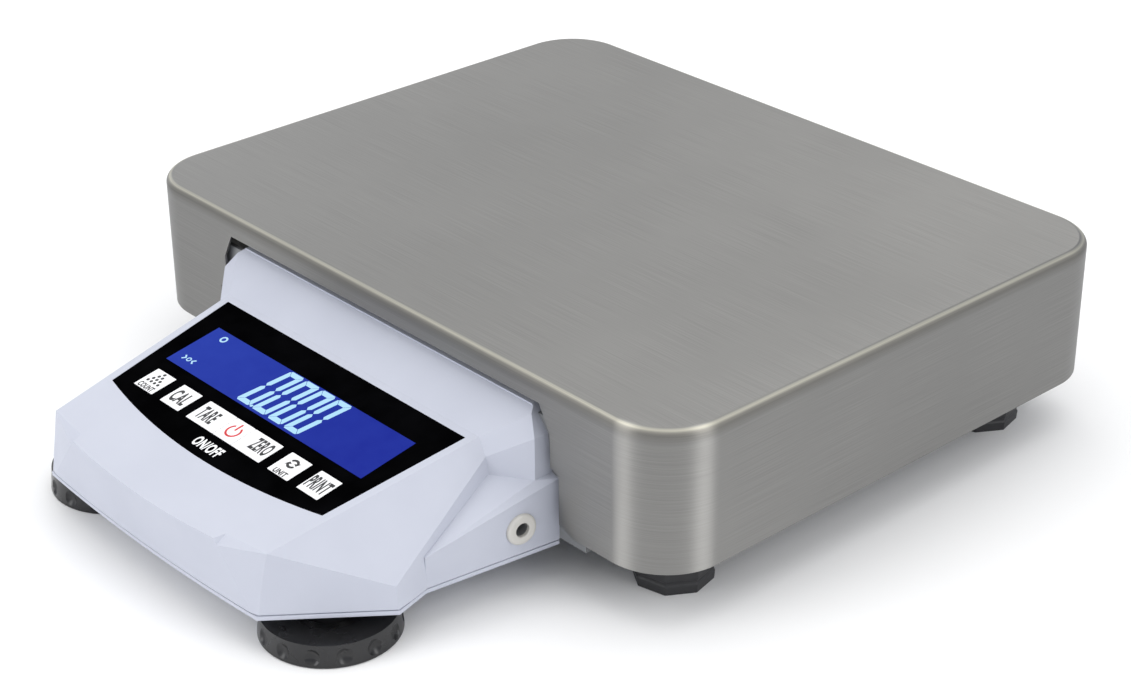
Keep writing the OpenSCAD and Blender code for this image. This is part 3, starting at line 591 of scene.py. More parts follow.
RIDGE = (88.5, 16.5, 54.8)
VALLEY = (90, 16.7, 47.7)
SHOULDER = (104.5, 5.5, 47)
CREASE = [(73, 109), (49, 116.1), (34, 117.6), (19.5, 118.5), (8, 118.85), (0, 118.9)]
nose_arc = [(NOSE[0] * i / 8, NOSE[1] + NOSE_CROWN * (1 - (i / 8) ** 2)) for i in range(9)]
BODY = ([(x, d, panel_z(d)) for x, d in CREASE] + [(x, d, SEAM_H) for x, d in nose_arc]
        + [(CHEEK_X, CHEEK_D, SEAM_H), (103.1, CHEEK_D, 28), (PANEL_SIDE, PANEL_BACK_D, PANEL_BACK_H),
           RIDGE, VALLEY, (*VALLEY[:2], SEAM_H)])
WING = [(wing_x(WING_D), WING_D, SEAM_H), (wing_x(WING_D), WING_D, 32),
        (wing_x(NECK_BACK_D), NECK_BACK_D, SEAM_H), (wing_x(NECK_BACK_D), NECK_BACK_D, 45.9),
        VALLEY, SHOULDER, (SHOULDER[0], NECK_BACK_D, SHOULDER[2])]
NECK = [(PANEL_SIDE, PANEL_BACK_D, PANEL_BACK_H), RIDGE, VALLEY, (*VALLEY[:2], SEAM_H),
        (96.7, 0, 71), (102.3, 3.5, 63.5), SHOULDER, (*SHOULDER[:2], SEAM_H),
        (94.1, NECK_BACK_D, 73.4), (102.3, NECK_BACK_D, 63.5),
        (SHOULDER[0], NECK_BACK_D, SHOULDER[2]), (SHOULDER[0], NECK_BACK_D, SEAM_H)]
LIP = [(94.1, -2.5, 73.4), (96.67, -2.5, 70.3), (94.1, -12, 73.4), (96.67, -12, 70.3)]
print("console outline:", len(BODY), "body,", len(WING), "wing and", len(NECK), "neck corners a side")

# %% [markdown]
# A convex hull needs only the corners and finds the facets by itself. Flat facets come out as
# several triangles, so those that lie in one plane are dissolved into one face before the edges
# are rounded, because a bevel follows every edge that it is given.

# %% Upper housing, outside
# A slanting wall of even thickness measures more than that along x, d or z.
SLANT_SIDE = 1.15
SLANT_UP = 1.1
FRONT_FROM_D = CHEEK_D - 20
TOO_LONG = 4
SAME_PLACE = 1e-6
SAME_PLANE = math.radians(0.6)


def block(name, corners, inset=0.0):
    """A convex block through mirrored corners, drawn in by a wall where it makes the inside."""
    bm = bmesh.new()
    for x, d, z in corners:
        front = d > FRONT_FROM_D
        depth = d - SLANT_SIDE * inset if front else d + inset * (d < 0)
        height = z - SLANT_UP * inset + front * SLANT_SIDE * inset * math.tan(math.radians(PANEL_TILT))
        if z <= SEAM_H:
            height = z - (1 if inset else TOO_LONG)
        for side in (-1, 1):
            bm.verts.new(place(side * max(x - SLANT_SIDE * inset, 0), depth, height))
    bmesh.ops.remove_doubles(bm, verts=bm.verts, dist=SAME_PLACE)
    hull = bmesh.ops.convex_hull(bm, input=bm.verts)
    spare = [e for e in hull["geom_interior"] + hull["geom_unused"]
             if isinstance(e, bmesh.types.BMVert)]
    bmesh.ops.delete(bm, geom=spare, context="VERTS")
    bmesh.ops.dissolve_limit(bm, angle_limit=SAME_PLANE, verts=bm.verts, edges=bm.edges)
    bmesh.ops.recalc_face_normals(bm, faces=bm.faces)
    return new_piece(name, bm, shell_white)


housing = block("console_upper", BODY)
carve(housing, block("wings", WING), "UNION")
carve(housing, block("neck", NECK), "UNION")
carve(housing, block("neck_lip", LIP), "UNION")
report(housing)

# %% [markdown]
# Across the middle the front crease stands a little proud of its two ends, with a short slanting
# step between. The ends are chamfered back with a thin wedge each, so the face below stays even.
# The sides are built a little too long below, so that after the edges are rounded the bottom can
# be cut off square at the seam.

# %% Steps in the front crease, and the seam
# Corners of one chamfer on the right: x, d, and the height over the panel's plane.
CHAMFER = [(73.4, 108.9, 0), (50.6, 111.5, 0), (48.9, 116.15, 0), (50.5, 118.5, -3.6), (73.9, 110.2, -0.8)]
EDGE_ROUND = 1.1
TRIM_HALF = 130
TRIM_BACK = 40
TRIM_DEPTH = 9


def step_tool(side):
    """The thin wedge that takes one end of the front crease back."""
    bm = bmesh.new()
    lid = [bm.verts.new(place(side * x, d, panel_z(d) + z + 3)) for x, d, z in CHAMFER]
    rim = [bm.verts.new(place(side * x, d, panel_z(d) + z - 0.01)) for x, d, z in CHAMFER]
    bmesh.ops.convex_hull(bm, input=[*lid, *rim])
    bmesh.ops.recalc_face_normals(bm, faces=bm.faces)
    return new_piece("step", bm, shell_white)


for side in (-1, 1):
    carve(housing, step_tool(side))
crease = bmesh.new()
crease.from_mesh(housing.data)
bmesh.ops.remove_doubles(crease, verts=crease.verts, dist=0.02 * MM)
bmesh.ops.dissolve_limit(crease, angle_limit=SAME_PLANE, verts=crease.verts, edges=crease.edges)
crease.to_mesh(housing.data)
crease.free()
round_edges(housing, EDGE_ROUND, 3, 11)
trim_outline = [(-TRIM_HALF, -TRIM_HALF), (TRIM_HALF, -TRIM_HALF),
                (TRIM_HALF, TRIM_BACK), (-TRIM_HALF, TRIM_BACK)]
trim = prism(trim_outline, SEAM_H - TRIM_DEPTH, SEAM_H, Matrix.Translation((0, skirt_face, 0)))
carve(housing, new_piece("trim", trim, shell_white))
report(housing)

# %% [markdown]
# The panel is recessed for its printed overlay, with an opening for the display and one for each
# key. The same outlines will later make the overlay and the keys, a clearance smaller, so that
# what fits together is written only once.

# %% Panel outlines
OVERLAY_T = 0.6
OVERLAY_BACK_V = -3.4
OVERLAY_FRONT_V = -68.5
OVERLAY_HALF_BACK = 79
OVERLAY_HALF_FRONT = 71.8
OVERLAY_SAG = 8.5
WINDOW_V = -31.4
WINDOW = (131.8, 27.4)
KEY_V = -57.6
KEY_LENGTH = 12.7
KEYS = {"sample": (-55.9, 13.1), "cal": (-37, 13.1), "tare": (-15.6, 18.6), "power": (0, 12),
        "zero": (15.6, 18.6), "unit": (37, 13.1), "print": (55.9, 13.1)}
BAR_WIDTH = 49.8


def overlay_outline(gap=0.0):
    """The overlay's outline on the panel: straight sides and back, and an arc in front."""
    arc = []
    for i in range(25):
        t = 1 - i / 12
        arc.append((t * (OVERLAY_HALF_FRONT - gap), OVERLAY_FRONT_V - OVERLAY_SAG * (1 - t * t) + gap))
    half = OVERLAY_HALF_BACK - gap
    return [(-half, OVERLAY_BACK_V - gap), *reversed(arc), (half, OVERLAY_BACK_V - gap)]


def rounded_box(u, v, width, length, radius=0.6, steps=4):
    """A rectangle on the panel with rounded corners."""
    outline = []
    for k, (sx, sy) in enumerate([(1, -1), (1, 1), (-1, 1), (-1, -1)]):
        for i in range(steps + 1):
            a = math.radians(90 * (k - 1) + 90 * i / steps)
            outline.append((u + sx * (width / 2 - radius) + radius * math.cos(a),
                            v + sy * (length / 2 - radius) + radius * math.sin(a)))
    return outline


def key_openings(gap):
    """Outlines of the single keys' openings and of the one round the bar of three."""
    singles = [rounded_box(u, KEY_V, w + 2 * gap, KEY_LENGTH + 2 * gap)
               for u, w in KEYS.values() if abs(u) > BAR_WIDTH / 2]
    return singles + [rounded_box(0, KEY_V, BAR_WIDTH + 2 * gap, KEY_LENGTH + 2 * gap)]


print("panel outlines:", len(overlay_outline()), "points round the overlay,", len(KEYS), "keys")

# %% [markdown]
# The housing is a shell, so the inside is carved out with the same blocks drawn in by a wall, and
# then the recess and the openings are cut through. Seen assembled none of the inside shows, but it
# is there when the platform lifts or when somebody takes the console apart.

# %% Upper housing, inside and openings
WINDOW_GAP = 0.15
KEY_GAP = 0.25
BODY_BACK = [(75, 4, SEAM_H), (75, 4, PANEL_BACK_H - 1)]
for name, corners in (("body_inside", BODY + BODY_BACK), ("wing_inside", WING), ("neck_inside", NECK)):
    carve(housing, block(name, corners, WALL))
carve(housing, new_piece("recess", prism(overlay_outline(), -OVERLAY_T, 4, panel_frame), shell_white))
window_opening = rounded_box(0, WINDOW_V, WINDOW[0] + 2 * WINDOW_GAP, WINDOW[1] + 2 * WINDOW_GAP)
for outline in [window_opening] + key_openings(KEY_GAP):
    carve(housing, new_piece("opening", prism(outline, -WALL - 2, 3, panel_frame), shell_white))

JACK_D = 14.3
JACK_H = 29.5
JACK_HOLE_R = 4.95
jack_frame = (Matrix.Translation(place(wing_x(JACK_D), JACK_D, JACK_H))
              @ Matrix.Rotation(-math.atan(WING_SPREAD), 4, "Z")
              @ Matrix.Rotation(math.radians(90), 4, "Y"))
jack_hole = [(JACK_HOLE_R * math.cos(math.radians(a)), JACK_HOLE_R * math.sin(math.radians(a)))
             for a in range(0, 360, 10)]
carve(housing, new_piece("jack_hole", prism(jack_hole, -9, 5, jack_frame), shell_white))
soften(housing, 28)
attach(housing, "root")
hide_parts("upper_housing")
report(housing)

# %% [markdown]
# The lower housing shows only as a lip below the seam. It is the console's outline raised a few
# millimetres, and its top is stepped in, so that the two halves meet in a fine shadow line. Pockets
# for the screws and holes for the two thumbwheels' studs are cut up into it.

# %% Lower housing
LOW_H = 16
REVEAL = 0.5
WHEEL_X = 73.8
WHEEL_D = 83
BUSH_R = 6
POCKET_R = 3.25
SCREW_PLACES = [(84, 88), (-84, 88), (92, 24), (-92, 24), (26, 106), (-26, 106)]


def circle(x, y, radius, count=40):
    """The outline of a circle."""
    angles = [2 * math.pi * i / count for i in range(count)]
    return [(x + radius * math.cos(a), y + radius * math.sin(a)) for a in angles]


def console_outline(inset=0.0):
    """The console's outline at the seam, as x and forward distance."""
    side = [(NOSE[0] - inset, NOSE[1] - inset), (CHEEK_X - inset, CHEEK_D - inset),
            (wing_x(WING_D) - inset, WING_D - inset), (wing_x(NECK_BACK_D) - inset, NECK_BACK_D + inset)]
    nose = [(x * (1 - inset / NOSE[0]), d - inset) for x, d in nose_arc[:-1]]
    right = nose + side
    return [(x, -d) for x, d in right] + [(-x, -d) for x, d in reversed(right[1:])]


drop = Matrix.Translation((0, skirt_face, 0))
lower = new_piece("console_lower", prism(console_outline(), LOW_H, SEAM_H - REVEAL, drop), shell_white)
round_edges(lower, 0.3, 2, 11)
step = prism(console_outline(1.0), LOW_H + 0.5, SEAM_H, drop)
carve(lower, new_piece("reveal", step, shell_white), "UNION")
for x, d in SCREW_PLACES:
    pocket = prism(circle(x, -d, POCKET_R), LOW_H - 1, LOW_H + 1, drop)
    carve(lower, new_piece("pocket", pocket, shell_white))
for side in (-1, 1):
    bush = prism(circle(side * WHEEL_X, -WHEEL_D, BUSH_R), LOW_H - 1, SEAM_H + 1, drop)
    carve(lower, new_piece("bush", bush, shell_white))
soften(lower, 28)
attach(lower, "root")
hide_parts("lower_housing")
report(lower)

# %% [markdown]
# The overlay is a polyester film, printed black from behind, so it is smooth with a faint orange
# peel and picks up a soft sheen. The lettering and the keys' faces are printed too. The finishes
# for ink are kept nearly matt, with a trace of unevenness where the ink lies thinner.

# %% Printed finishes
film_black = finish("film_black", Specular_IOR_Level=0.0)
tint(film_black, noise(film_black, 60, detail=5), (0.0010, 0.0010, 0.0012), (0.0022, 0.0022, 0.0026))
roughen(film_black, noise(film_black, 90, detail=4), 0.34, 0.46)
bump(film_black, noise(film_black, 700, detail=2), 0.1, 0.02)


def ink(name, dark, light, rough=0.5):
    """Printed ink, a touch uneven."""
    made = finish(name)
    tint(made, noise(made, 500, detail=4), dark, light)
    roughen(made, noise(made, 200), rough - 0.05, rough + 0.05)
    return made


key_white = ink("key_white", (0.83, 0.83, 0.84), (0.88, 0.88, 0.89), 0.45)
ink_black = ink("ink_black", (0.006, 0.006, 0.007), (0.012, 0.012, 0.013))
ink_white = ink("ink_white", (0.82, 0.82, 0.83), (0.88, 0.88, 0.88))
ink_red = ink("ink_red", (0.52, 0.006, 0.012), (0.60, 0.010, 0.016))
print("printed finishes: film, three inks and the keys' white")

# %% [markdown]
# The overlay is one flat prism with its edge eased, and openings for the window and the keys are
# cut through it. It lies flush in the recess that was cut for it, with a hair of gap all round.

# %% Overlay
FILM_GAP = 0.08
overlay = new_piece("overlay", prism(overlay_outline(FILM_GAP), -OVERLAY_T, 0, panel_frame), film_black)
round_edges(overlay, 0.12, 2, 40)
film_openings = [rounded_box(0, WINDOW_V, WINDOW[0] + 0.1, WINDOW[1] + 0.1, 0.3)] + key_openings(0.2)
for outline in film_openings:
    carve(overlay, new_piece("opening", prism(outline, -2, 2, panel_frame), film_black))
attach(overlay, "root")
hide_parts("keypad_overlay")
report(overlay)

# %% [markdown]
# A membrane key is a white cap that stands in its opening. Its face is very slightly crowned, so
# each key takes its own highlight. Seven keys come from one function, because they differ only in
# place and width, and each rides on the body that the model presses.

# %% Keys
KEY_LOW = -4.7
KEY_CROWN = 0.12
KEY_STEPS = 10


def key_cap(name, u, width):
    """A key's cap: a crowned face, square sides, and the body that it moves with."""
    bm = bmesh.new()
    grid = []
    for j in range(KEY_STEPS + 1):
        row = []
        for i in range(KEY_STEPS + 1):
            a = 2 * i / KEY_STEPS - 1
            b = 2 * j / KEY_STEPS - 1
            w = -KEY_CROWN * (a ** 4 + b ** 4) / 2
            row.append(bm.verts.new(on_panel(u + a * width / 2, KEY_V + b * KEY_LENGTH / 2, w)))
        grid.append(row)
    for j in range(KEY_STEPS):
        for i in range(KEY_STEPS):
            bm.faces.new((grid[j][i], grid[j][i + 1], grid[j + 1][i + 1], grid[j + 1][i]))
    edge = [e for e in bm.edges if e.is_boundary]
    drawn = bmesh.ops.extrude_edge_only(bm, edges=edge)["geom"]
    down = on_panel(0, 0, KEY_LOW) - on_panel(0, 0, 0)
    low = [v for v in drawn if isinstance(v, bmesh.types.BMVert)]
    bmesh.ops.translate(bm, verts=low, vec=down)
    bmesh.ops.holes_fill(bm, edges=[e for e in bm.edges if e.is_boundary])
    bmesh.ops.recalc_face_normals(bm, faces=bm.faces)
    cap = new_piece("key_face_" + name, bm, key_white, 40)
    round_edges(cap, 0.18, 2, 60)
    soften(cap, 40)
    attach(cap, "key_" + name)
    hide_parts("key_" + name)
    return cap


for name, (u, width) in KEYS.items():
    report(key_cap(name, u, width))

# %% [markdown]
# The legends are real, very thin meshes. A word starts as a text object with the built-in font,
# is turned into a mesh, and is stretched to the width and height that it has on the key, so it
# comes out condensed and bold. Only plain working words are used.

# %% Lettering
INK_LOW = -0.1
INK_HIGH = 0.03
MERGE = 0.003 * MM
LETTER_BOLD = 0.035
LETTER_SPACE = 1.1


def legend(name, word, u, v, width, height, material, body):
    """A printed word, fitted into a box on the panel."""
    text = bpy.data.curves.new(name, "FONT")
    text.body = word
    text.offset = LETTER_BOLD
    text.space_character = LETTER_SPACE
    text.resolution_u = 8
    maker = bpy.data.objects.new("maker", text)
    bpy.context.scene.collection.objects.link(maker)
    bpy.context.view_layer.update()
    evaluated = maker.evaluated_get(bpy.context.evaluated_depsgraph_get())
    mesh = bpy.data.meshes.new_from_object(evaluated)
    bpy.data.objects.remove(maker)
    bm = bmesh.new()
    bm.from_mesh(mesh)
    bpy.data.meshes.remove(mesh)
    bmesh.ops.remove_doubles(bm, verts=bm.verts, dist=1e-5)
    low = Vector((min(p.co.x for p in bm.verts), min(p.co.y for p in bm.verts)))
    high = Vector((max(p.co.x for p in bm.verts), max(p.co.y for p in bm.verts)))
    for point in bm.verts:
        x = (point.co.x - low.x) / (high.x - low.x) - 0.5
        y = (point.co.y - low.y) / (high.y - low.y) - 0.5
        point.co = on_panel(u + x * width, v + y * height, INK_HIGH)
    return printed(name, bm, material, body)


def printed(name, bm, material, body):
    """Gives flat ink a thickness down into what it is printed on, and puts it on its body."""
    bmesh.ops.remove_doubles(bm, verts=bm.verts, dist=MERGE)
    bmesh.ops.dissolve_degenerate(bm, edges=bm.edges, dist=MERGE)
    faces = list(bm.faces)
    drawn = bmesh.ops.extrude_face_region(bm, geom=faces)["geom"]
    down = on_panel(0, 0, INK_LOW) - on_panel(0, 0, INK_HIGH)
    low = [v for v in drawn if isinstance(v, bmesh.types.BMVert)]
    bmesh.ops.translate(bm, verts=low, vec=down)
    bmesh.ops.recalc_face_normals(bm, faces=bm.faces)
    piece = new_piece(name, bm, material, 30)
    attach(piece, body)
    return piece


# Name, word, middle across and up the panel, width, height, ink, body.
legend("word_sample", "COUNT", -55.9, -62.1, 9.8, 3.0, ink_black, "key_sample")
legend("word_cal", "CAL", -37, -57.7, 9.4, 7.6, ink_black, "key_cal")
legend("word_tare", "TARE", -17.4, -57.8, 10.2, 7.6, ink_black, "key_tare")
legend("word_zero", "ZERO", 17.9, -57.0, 10.6, 7.6, ink_black, "key_zero")
legend("word_unit", "UNIT", 37, -62.3, 7.6, 2.8, ink_black, "key_unit")
legend("word_print", "PRINT", 55.9, -57.7, 11.4, 7.4, ink_black, "key_print")
legend("word_on_off", "ON/OFF", 0, -70.4, 17.0, 5.6, ink_white, "root")
print("legends: 7 words")

# %% [markdown]
# The signs on the keys are flat shapes drawn from arcs and dots: a broken ring with a stroke for
# power, two arrows chasing each other for units, and a heap of ten dots for a counted sample.

# %% Signs
def flat(bm, outline):
    """Adds one flat outline in panel millimetres to a bmesh."""
    return bm.faces.new([bm.verts.new(on_panel(u, v, INK_HIGH)) for u, v in outline])


def arc_band(u, v, radius, band, start, end, steps=24):
    """The outline of a curved band, angles in degrees."""
    angles = [math.radians(start + (end - start) * i / steps) for i in range(steps + 1)]
    far = radius + band / 2
    near = radius - band / 2
    outer = [(u + far * math.cos(a), v + far * math.sin(a)) for a in angles]
    inner = [(u + near * math.cos(a), v + near * math.sin(a)) for a in angles]
    return outer + inner[::-1]


power = bmesh.new()
POWER_V = -57.8
STROKE = 0.48
flat(power, arc_band(0, POWER_V, 3.3, 0.95, 125, 415))
flat(power, [(-STROKE, -57.3), (STROKE, -57.3), (STROKE, -52.9), (-STROKE, -52.9)])
printed("sign_power", power, ink_red, "key_power")

UNITS_U, UNITS_V = 37, -56
ARROW_R = 2.15
units = bmesh.new()


def round_units(radius, angle):
    """A point round the middle of the units sign."""
    return (UNITS_U + radius * math.cos(angle), UNITS_V + radius * math.sin(angle))


for half_turn in (0, 180):
    flat(units, arc_band(UNITS_U, UNITS_V, ARROW_R, 1.15, half_turn + 25, half_turn + 150))
    tip = math.radians(half_turn + 12) - 0.42
    root = math.radians(half_turn + 30)
    flat(units, [round_units(0.55, root), round_units(ARROW_R, tip), round_units(3.75, root)])
printed("sign_units", units, ink_black, "key_unit")

HEAP_U, HEAP_V = -55.9, -52.7
DOT_STEP, ROW_STEP, DOT_R = 2.35, 2.0, 0.78
heap = bmesh.new()
for row in range(4):
    for i in range(row + 1):
        flat(heap, circle(HEAP_U + DOT_STEP * (i - row / 2), HEAP_V - ROW_STEP * row, DOT_R, 20))
printed("sign_heap", heap, ink_black, "key_sample")
print("signs: power, units and heap")

# %% [markdown]
# The display is a blue backlit glass under a clear window. What reaches the eye is an evenly lit
# face, a little brighter at one end where the lamp sits. So the face carries an emission with a
# slow gradient, and hardly any gloss, because the window has a hard anti-glare coating.

# %% Display face
def lit(name, dark, light, strength, axis, low, high):
    """A lit face: a colour that changes slowly along one axis of the model."""
    made = finish(name, Roughness=0.6, Specular_IOR_Level=0.05)
    tree = made.node_tree
    shader = tree.nodes["Principled BSDF"]
    source = tree.nodes.new("ShaderNodeTexCoord")
    split = tree.nodes.new("ShaderNodeSeparateXYZ")
    spread = tree.nodes.new("ShaderNodeMapRange")
    spread.inputs["From Min"].default_value = low
    spread.inputs["From Max"].default_value = high
    ramp = tree.nodes.new("ShaderNodeValToRGB")
    ramp.color_ramp.elements[0].color = (*light, 1)
    ramp.color_ramp.elements[1].color = (*dark, 1)
    tree.links.new(source.outputs["Object"], split.inputs["Vector"])
    tree.links.new(split.outputs[axis], spread.inputs["Value"])
    tree.links.new(spread.outputs["Result"], ramp.inputs["Fac"])
    tree.links.new(ramp.outputs["Color"], shader.inputs["Emission Color"])
    shader.inputs["Emission Strength"].default_value = strength
    tint(made, noise(made, 120, detail=4), (0.004, 0.006, 0.03), (0.006, 0.010, 0.045))
    return made


LAMP_END, FAR_END = -0.07, 0.05
lcd_blue = lit("lcd_blue", (0.004, 0.015, 0.28), (0.012, 0.036, 0.36), 1.0, "X", LAMP_END, FAR_END)
segment_glow = lit("segment_glow", (0.45, 0.76, 0.95), (0.52, 0.82, 1.0), 1.0, "X", LAMP_END, FAR_END)
window_face = prism(rounded_box(0, WINDOW_V, *WINDOW, 0.25), -OVERLAY_T, 0, panel_frame)
window = new_piece("display_face", window_face, lcd_blue)
round_edges(window, 0.1, 2, 40)
soften(window, 30)
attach(window, "root")
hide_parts("display_window")
report(window)

# %% [markdown]
# The reading is four leaning digits. Each nought is six bars of one width whose ends are cut at a
# slant where they meet, with a hair of dark between, and the outer corners are cropped as they are
# on a real glass. One digit is described once, upright and centred, then leaned and repeated.

# %% Reading
DIGIT_W = 8.9
DIGIT_H = 25.6
BAR = 2.6
LEAN = 0.17
MITRE = 0.13
CROP = 0.9
READING_V = -30.95
DIGIT_U = [-11.4, -0.8, 9.8, 20.4]


def lean(u, v, middle):
    """Leans a point of a digit to the right about the middle of its height."""
    return (u + LEAN * (v - middle), v)


def nought():
    """The six bars of a nought, as outlines about its middle."""
    w = DIGIT_W / 2
    h = DIGIT_H / 2
    half_crop = CROP * 0.5
    across = [(-w + CROP + MITRE, h), (w - CROP - MITRE, h), (w - half_crop - MITRE, h - half_crop),
              (w - BAR - MITRE, h - BAR), (-w + BAR + MITRE, h - BAR),
              (-w + half_crop + MITRE, h - half_crop)]
    side = [(-w, h - CROP - MITRE), (-w + half_crop, h - half_crop - MITRE), (-w + BAR, h - BAR - MITRE),
            (-w + BAR, BAR / 2 + MITRE), (-w + BAR / 2, MITRE), (-w, BAR / 2 + MITRE)]
    bars = [across, [(u, -v) for u, v in across]]
    for su in (-1, 1):
        for sv in (-1, 1):
            bars.append([(su * u, sv * v) for u, v in side])
    return bars


reading = bmesh.new()
for middle_u in DIGIT_U:
    for shape in nought():
        flat(reading, [lean(middle_u + u, READING_V + v, READING_V) for u, v in shape])
POINT_R = 0.72
point_u = (DIGIT_U[0] + DIGIT_U[1]) / 2
point = circle(point_u, READING_V - DIGIT_H / 2 + 0.8, POINT_R, 16)
flat(reading, [lean(u, v, READING_V) for u, v in point])
reading_piece = printed("reading", reading, segment_glow, "root")

report(reading_piece)

# %% [markdown]
# Two small marks stand at the left of the glass: a ring that shows a steady reading, and a ring
# between two arrowheads that shows zero. A ring is drawn as two half bands, which are joined where
# their ends meet. The arrowhead is typed once and mirrored.

# %% Marks on the display
STEADY_U, STEADY_V = -56.5, -21.9
ZERO_U, ZERO_V = -57, -39.6
ARROWHEAD = [(1.8, 0), (3.3, 1.5), (4.0, 1.1), (2.8, 0), (4.0, -1.1), (3.3, -1.5)]
marks = bmesh.new()
for start in (0, 180):
    flat(marks, arc_band(STEADY_U, STEADY_V, 1.5, 0.85, start, start + 180))
    flat(marks, arc_band(ZERO_U, ZERO_V, 1.0, 0.55, start, start + 180, 12))
for side in (-1, 1):
    flat(marks, [(ZERO_U + side * u, ZERO_V + v) for u, v in ARROWHEAD])
marks_piece = printed("marks", marks, segment_glow, "root")
report(marks_piece)

# %% [markdown]
# Anything turned on a lathe needs only its profile. This helper spins a list of radius and height
# points round an axis, and closes it where the profile starts or ends on the axis. It makes the
# thumbwheels, the soles, the power inlet and the fasteners' heads.

# %% Turning
def lathe(profile, count=64, matrix=Matrix.Identity(4)):
    """A bmesh turned from (radius, height) points in millimetres, in order end to end."""
    bm = bmesh.new()
    angles = [2 * math.pi * i / count for i in range(count)]
    rings = []
    for radius, z in profile:
        if radius == 0:
            rings.append([bm.verts.new(matrix @ Vector((0, 0, z * MM)))] * count)
            continue
        ring = [Vector((radius * math.cos(a) * MM, radius * math.sin(a) * MM, z * MM)) for a in angles]
        rings.append([bm.verts.new(matrix @ point) for point in ring])
    if profile[0][0] > 0:
        rings.append(rings[0])
    for low, high in zip(rings, rings[1:]):
        for i in range(count):
            k = (i + 1) % count
            corners = list(dict.fromkeys((low[i], low[k], high[k], high[i])))
            if len(corners) > 2:
                bm.faces.new(corners)
    bmesh.ops.recalc_face_normals(bm, faces=bm.faces)
    return bm


print("lathe ready")

# %% [markdown]
# The thumbwheels are glossy black nylon with a soft sheen, and the feet are the same nylon left
# duller by the mould. Rubber is nearly matt and very slightly brown. All three are dark, so what
# tells them apart is how wide their highlights are and how coarse their texture is.

# %% Dark finishes
wheel_black = moulded("wheel_black", (0.010, 0.010, 0.011), (0.017, 0.017, 0.018), 0.22, 0.34, 0.08)
foot_black = moulded("foot_black", (0.018, 0.018, 0.020), (0.030, 0.030, 0.032), 0.42, 0.55, 0.3)
rubber = moulded("rubber", (0.020, 0.019, 0.018), (0.034, 0.032, 0.030), 0.72, 0.85, 0.5)
print("dark finishes:", wheel_black.name, foot_black.name, rubber.name)

# %% [markdown]
# Each thumbwheel has fourteen finger dimples round its rim. They follow a rule, so Geometry Nodes
# makes them: a circle of points, a ball on every point, and a boolean that takes the balls out of
# the turned blank. The number and size of the dimples are inputs, so the same tree suits any wheel.

# %% Tree for finger dimples
def new_tree(name, inputs):
    """A Geometry Nodes tree with a geometry input and output and the named inputs."""
    tree = bpy.data.node_groups.new(name, "GeometryNodeTree")
    tree.interface.new_socket("Geometry", in_out="INPUT", socket_type="NodeSocketGeometry")
    for label, kind in inputs.items():
        tree.interface.new_socket(label, in_out="INPUT", socket_type="NodeSocket" + kind)
    tree.interface.new_socket("Geometry", in_out="OUTPUT", socket_type="NodeSocketGeometry")
    return tree


def dimple_tree():
    """Balls on a circle of points, taken out of the piece."""
    tree = new_tree("finger_dimples", {"Dimples": "Int", "Circle Radius": "Float", "Height": "Float",
                                       "Ball Radius": "Float", "Finish": "Material"})
    n, link = tree.nodes, tree.links
    given = n.new("NodeGroupInput")
    ring = n.new("GeometryNodeMeshCircle")
    link.new(given.outputs["Dimples"], ring.inputs["Vertices"])
    link.new(given.outputs["Circle Radius"], ring.inputs["Radius"])
    ball = n.new("GeometryNodeMeshUVSphere")
    ball.inputs["Segments"].default_value = 40
    ball.inputs["Rings"].default_value = 24
    link.new(given.outputs["Ball Radius"], ball.inputs["Radius"])
    lift = n.new("ShaderNodeCombineXYZ")
    link.new(given.outputs["Height"], lift.inputs["Z"])
    raised = n.new("GeometryNodeTransform")
    link.new(ring.outputs["Mesh"], raised.inputs["Geometry"])
    link.new(lift.outputs["Vector"], raised.inputs["Translation"])
    balls = n.new("GeometryNodeInstanceOnPoints")
    link.new(raised.outputs["Geometry"], balls.inputs["Points"])
    link.new(ball.outputs["Mesh"], balls.inputs["Instance"])
    real = n.new("GeometryNodeRealizeInstances")
    link.new(balls.outputs["Instances"], real.inputs["Geometry"])
    cut = n.new("GeometryNodeMeshBoolean")
    cut.operation = "DIFFERENCE"
    cut.solver = "EXACT"
    link.new(given.outputs["Geometry"], cut.inputs["Mesh 1"])
    link.new(real.outputs["Geometry"], cut.inputs["Mesh 2"])
    coat = n.new("GeometryNodeSetMaterial")
    link.new(cut.outputs["Mesh"], coat.inputs["Geometry"])
    link.new(given.outputs["Finish"], coat.inputs["Material"])
    link.new(coat.outputs["Geometry"], n.new("NodeGroupOutput").inputs["Geometry"])
    return tree


def run_tree(piece, tree, **values):
    """Gives a piece the tree, sets the inputs by their labels, and keeps the plain mesh."""
    step = piece.modifiers.new(tree.name, "NODES")
    step.node_group = tree
    for item in tree.interface.items_tree:
        label = item.name.replace(" ", "_")
        if item.in_out == "INPUT" and label in values:
            step[item.identifier] = values[label]
    return settle(piece)


finger_dimples = dimple_tree()
print("tree:", finger_dimples.name, len(finger_dimples.nodes), "nodes")

# %% [markdown]
# The blank is a shallow drum with a dished top, a hub in the middle and a pocket below for the
# sole. It is turned, the dimples are taken out, and the edges are rounded last, because a finger
# meets them. The two wheels turn and rise on their studs, so each rides on its own body.

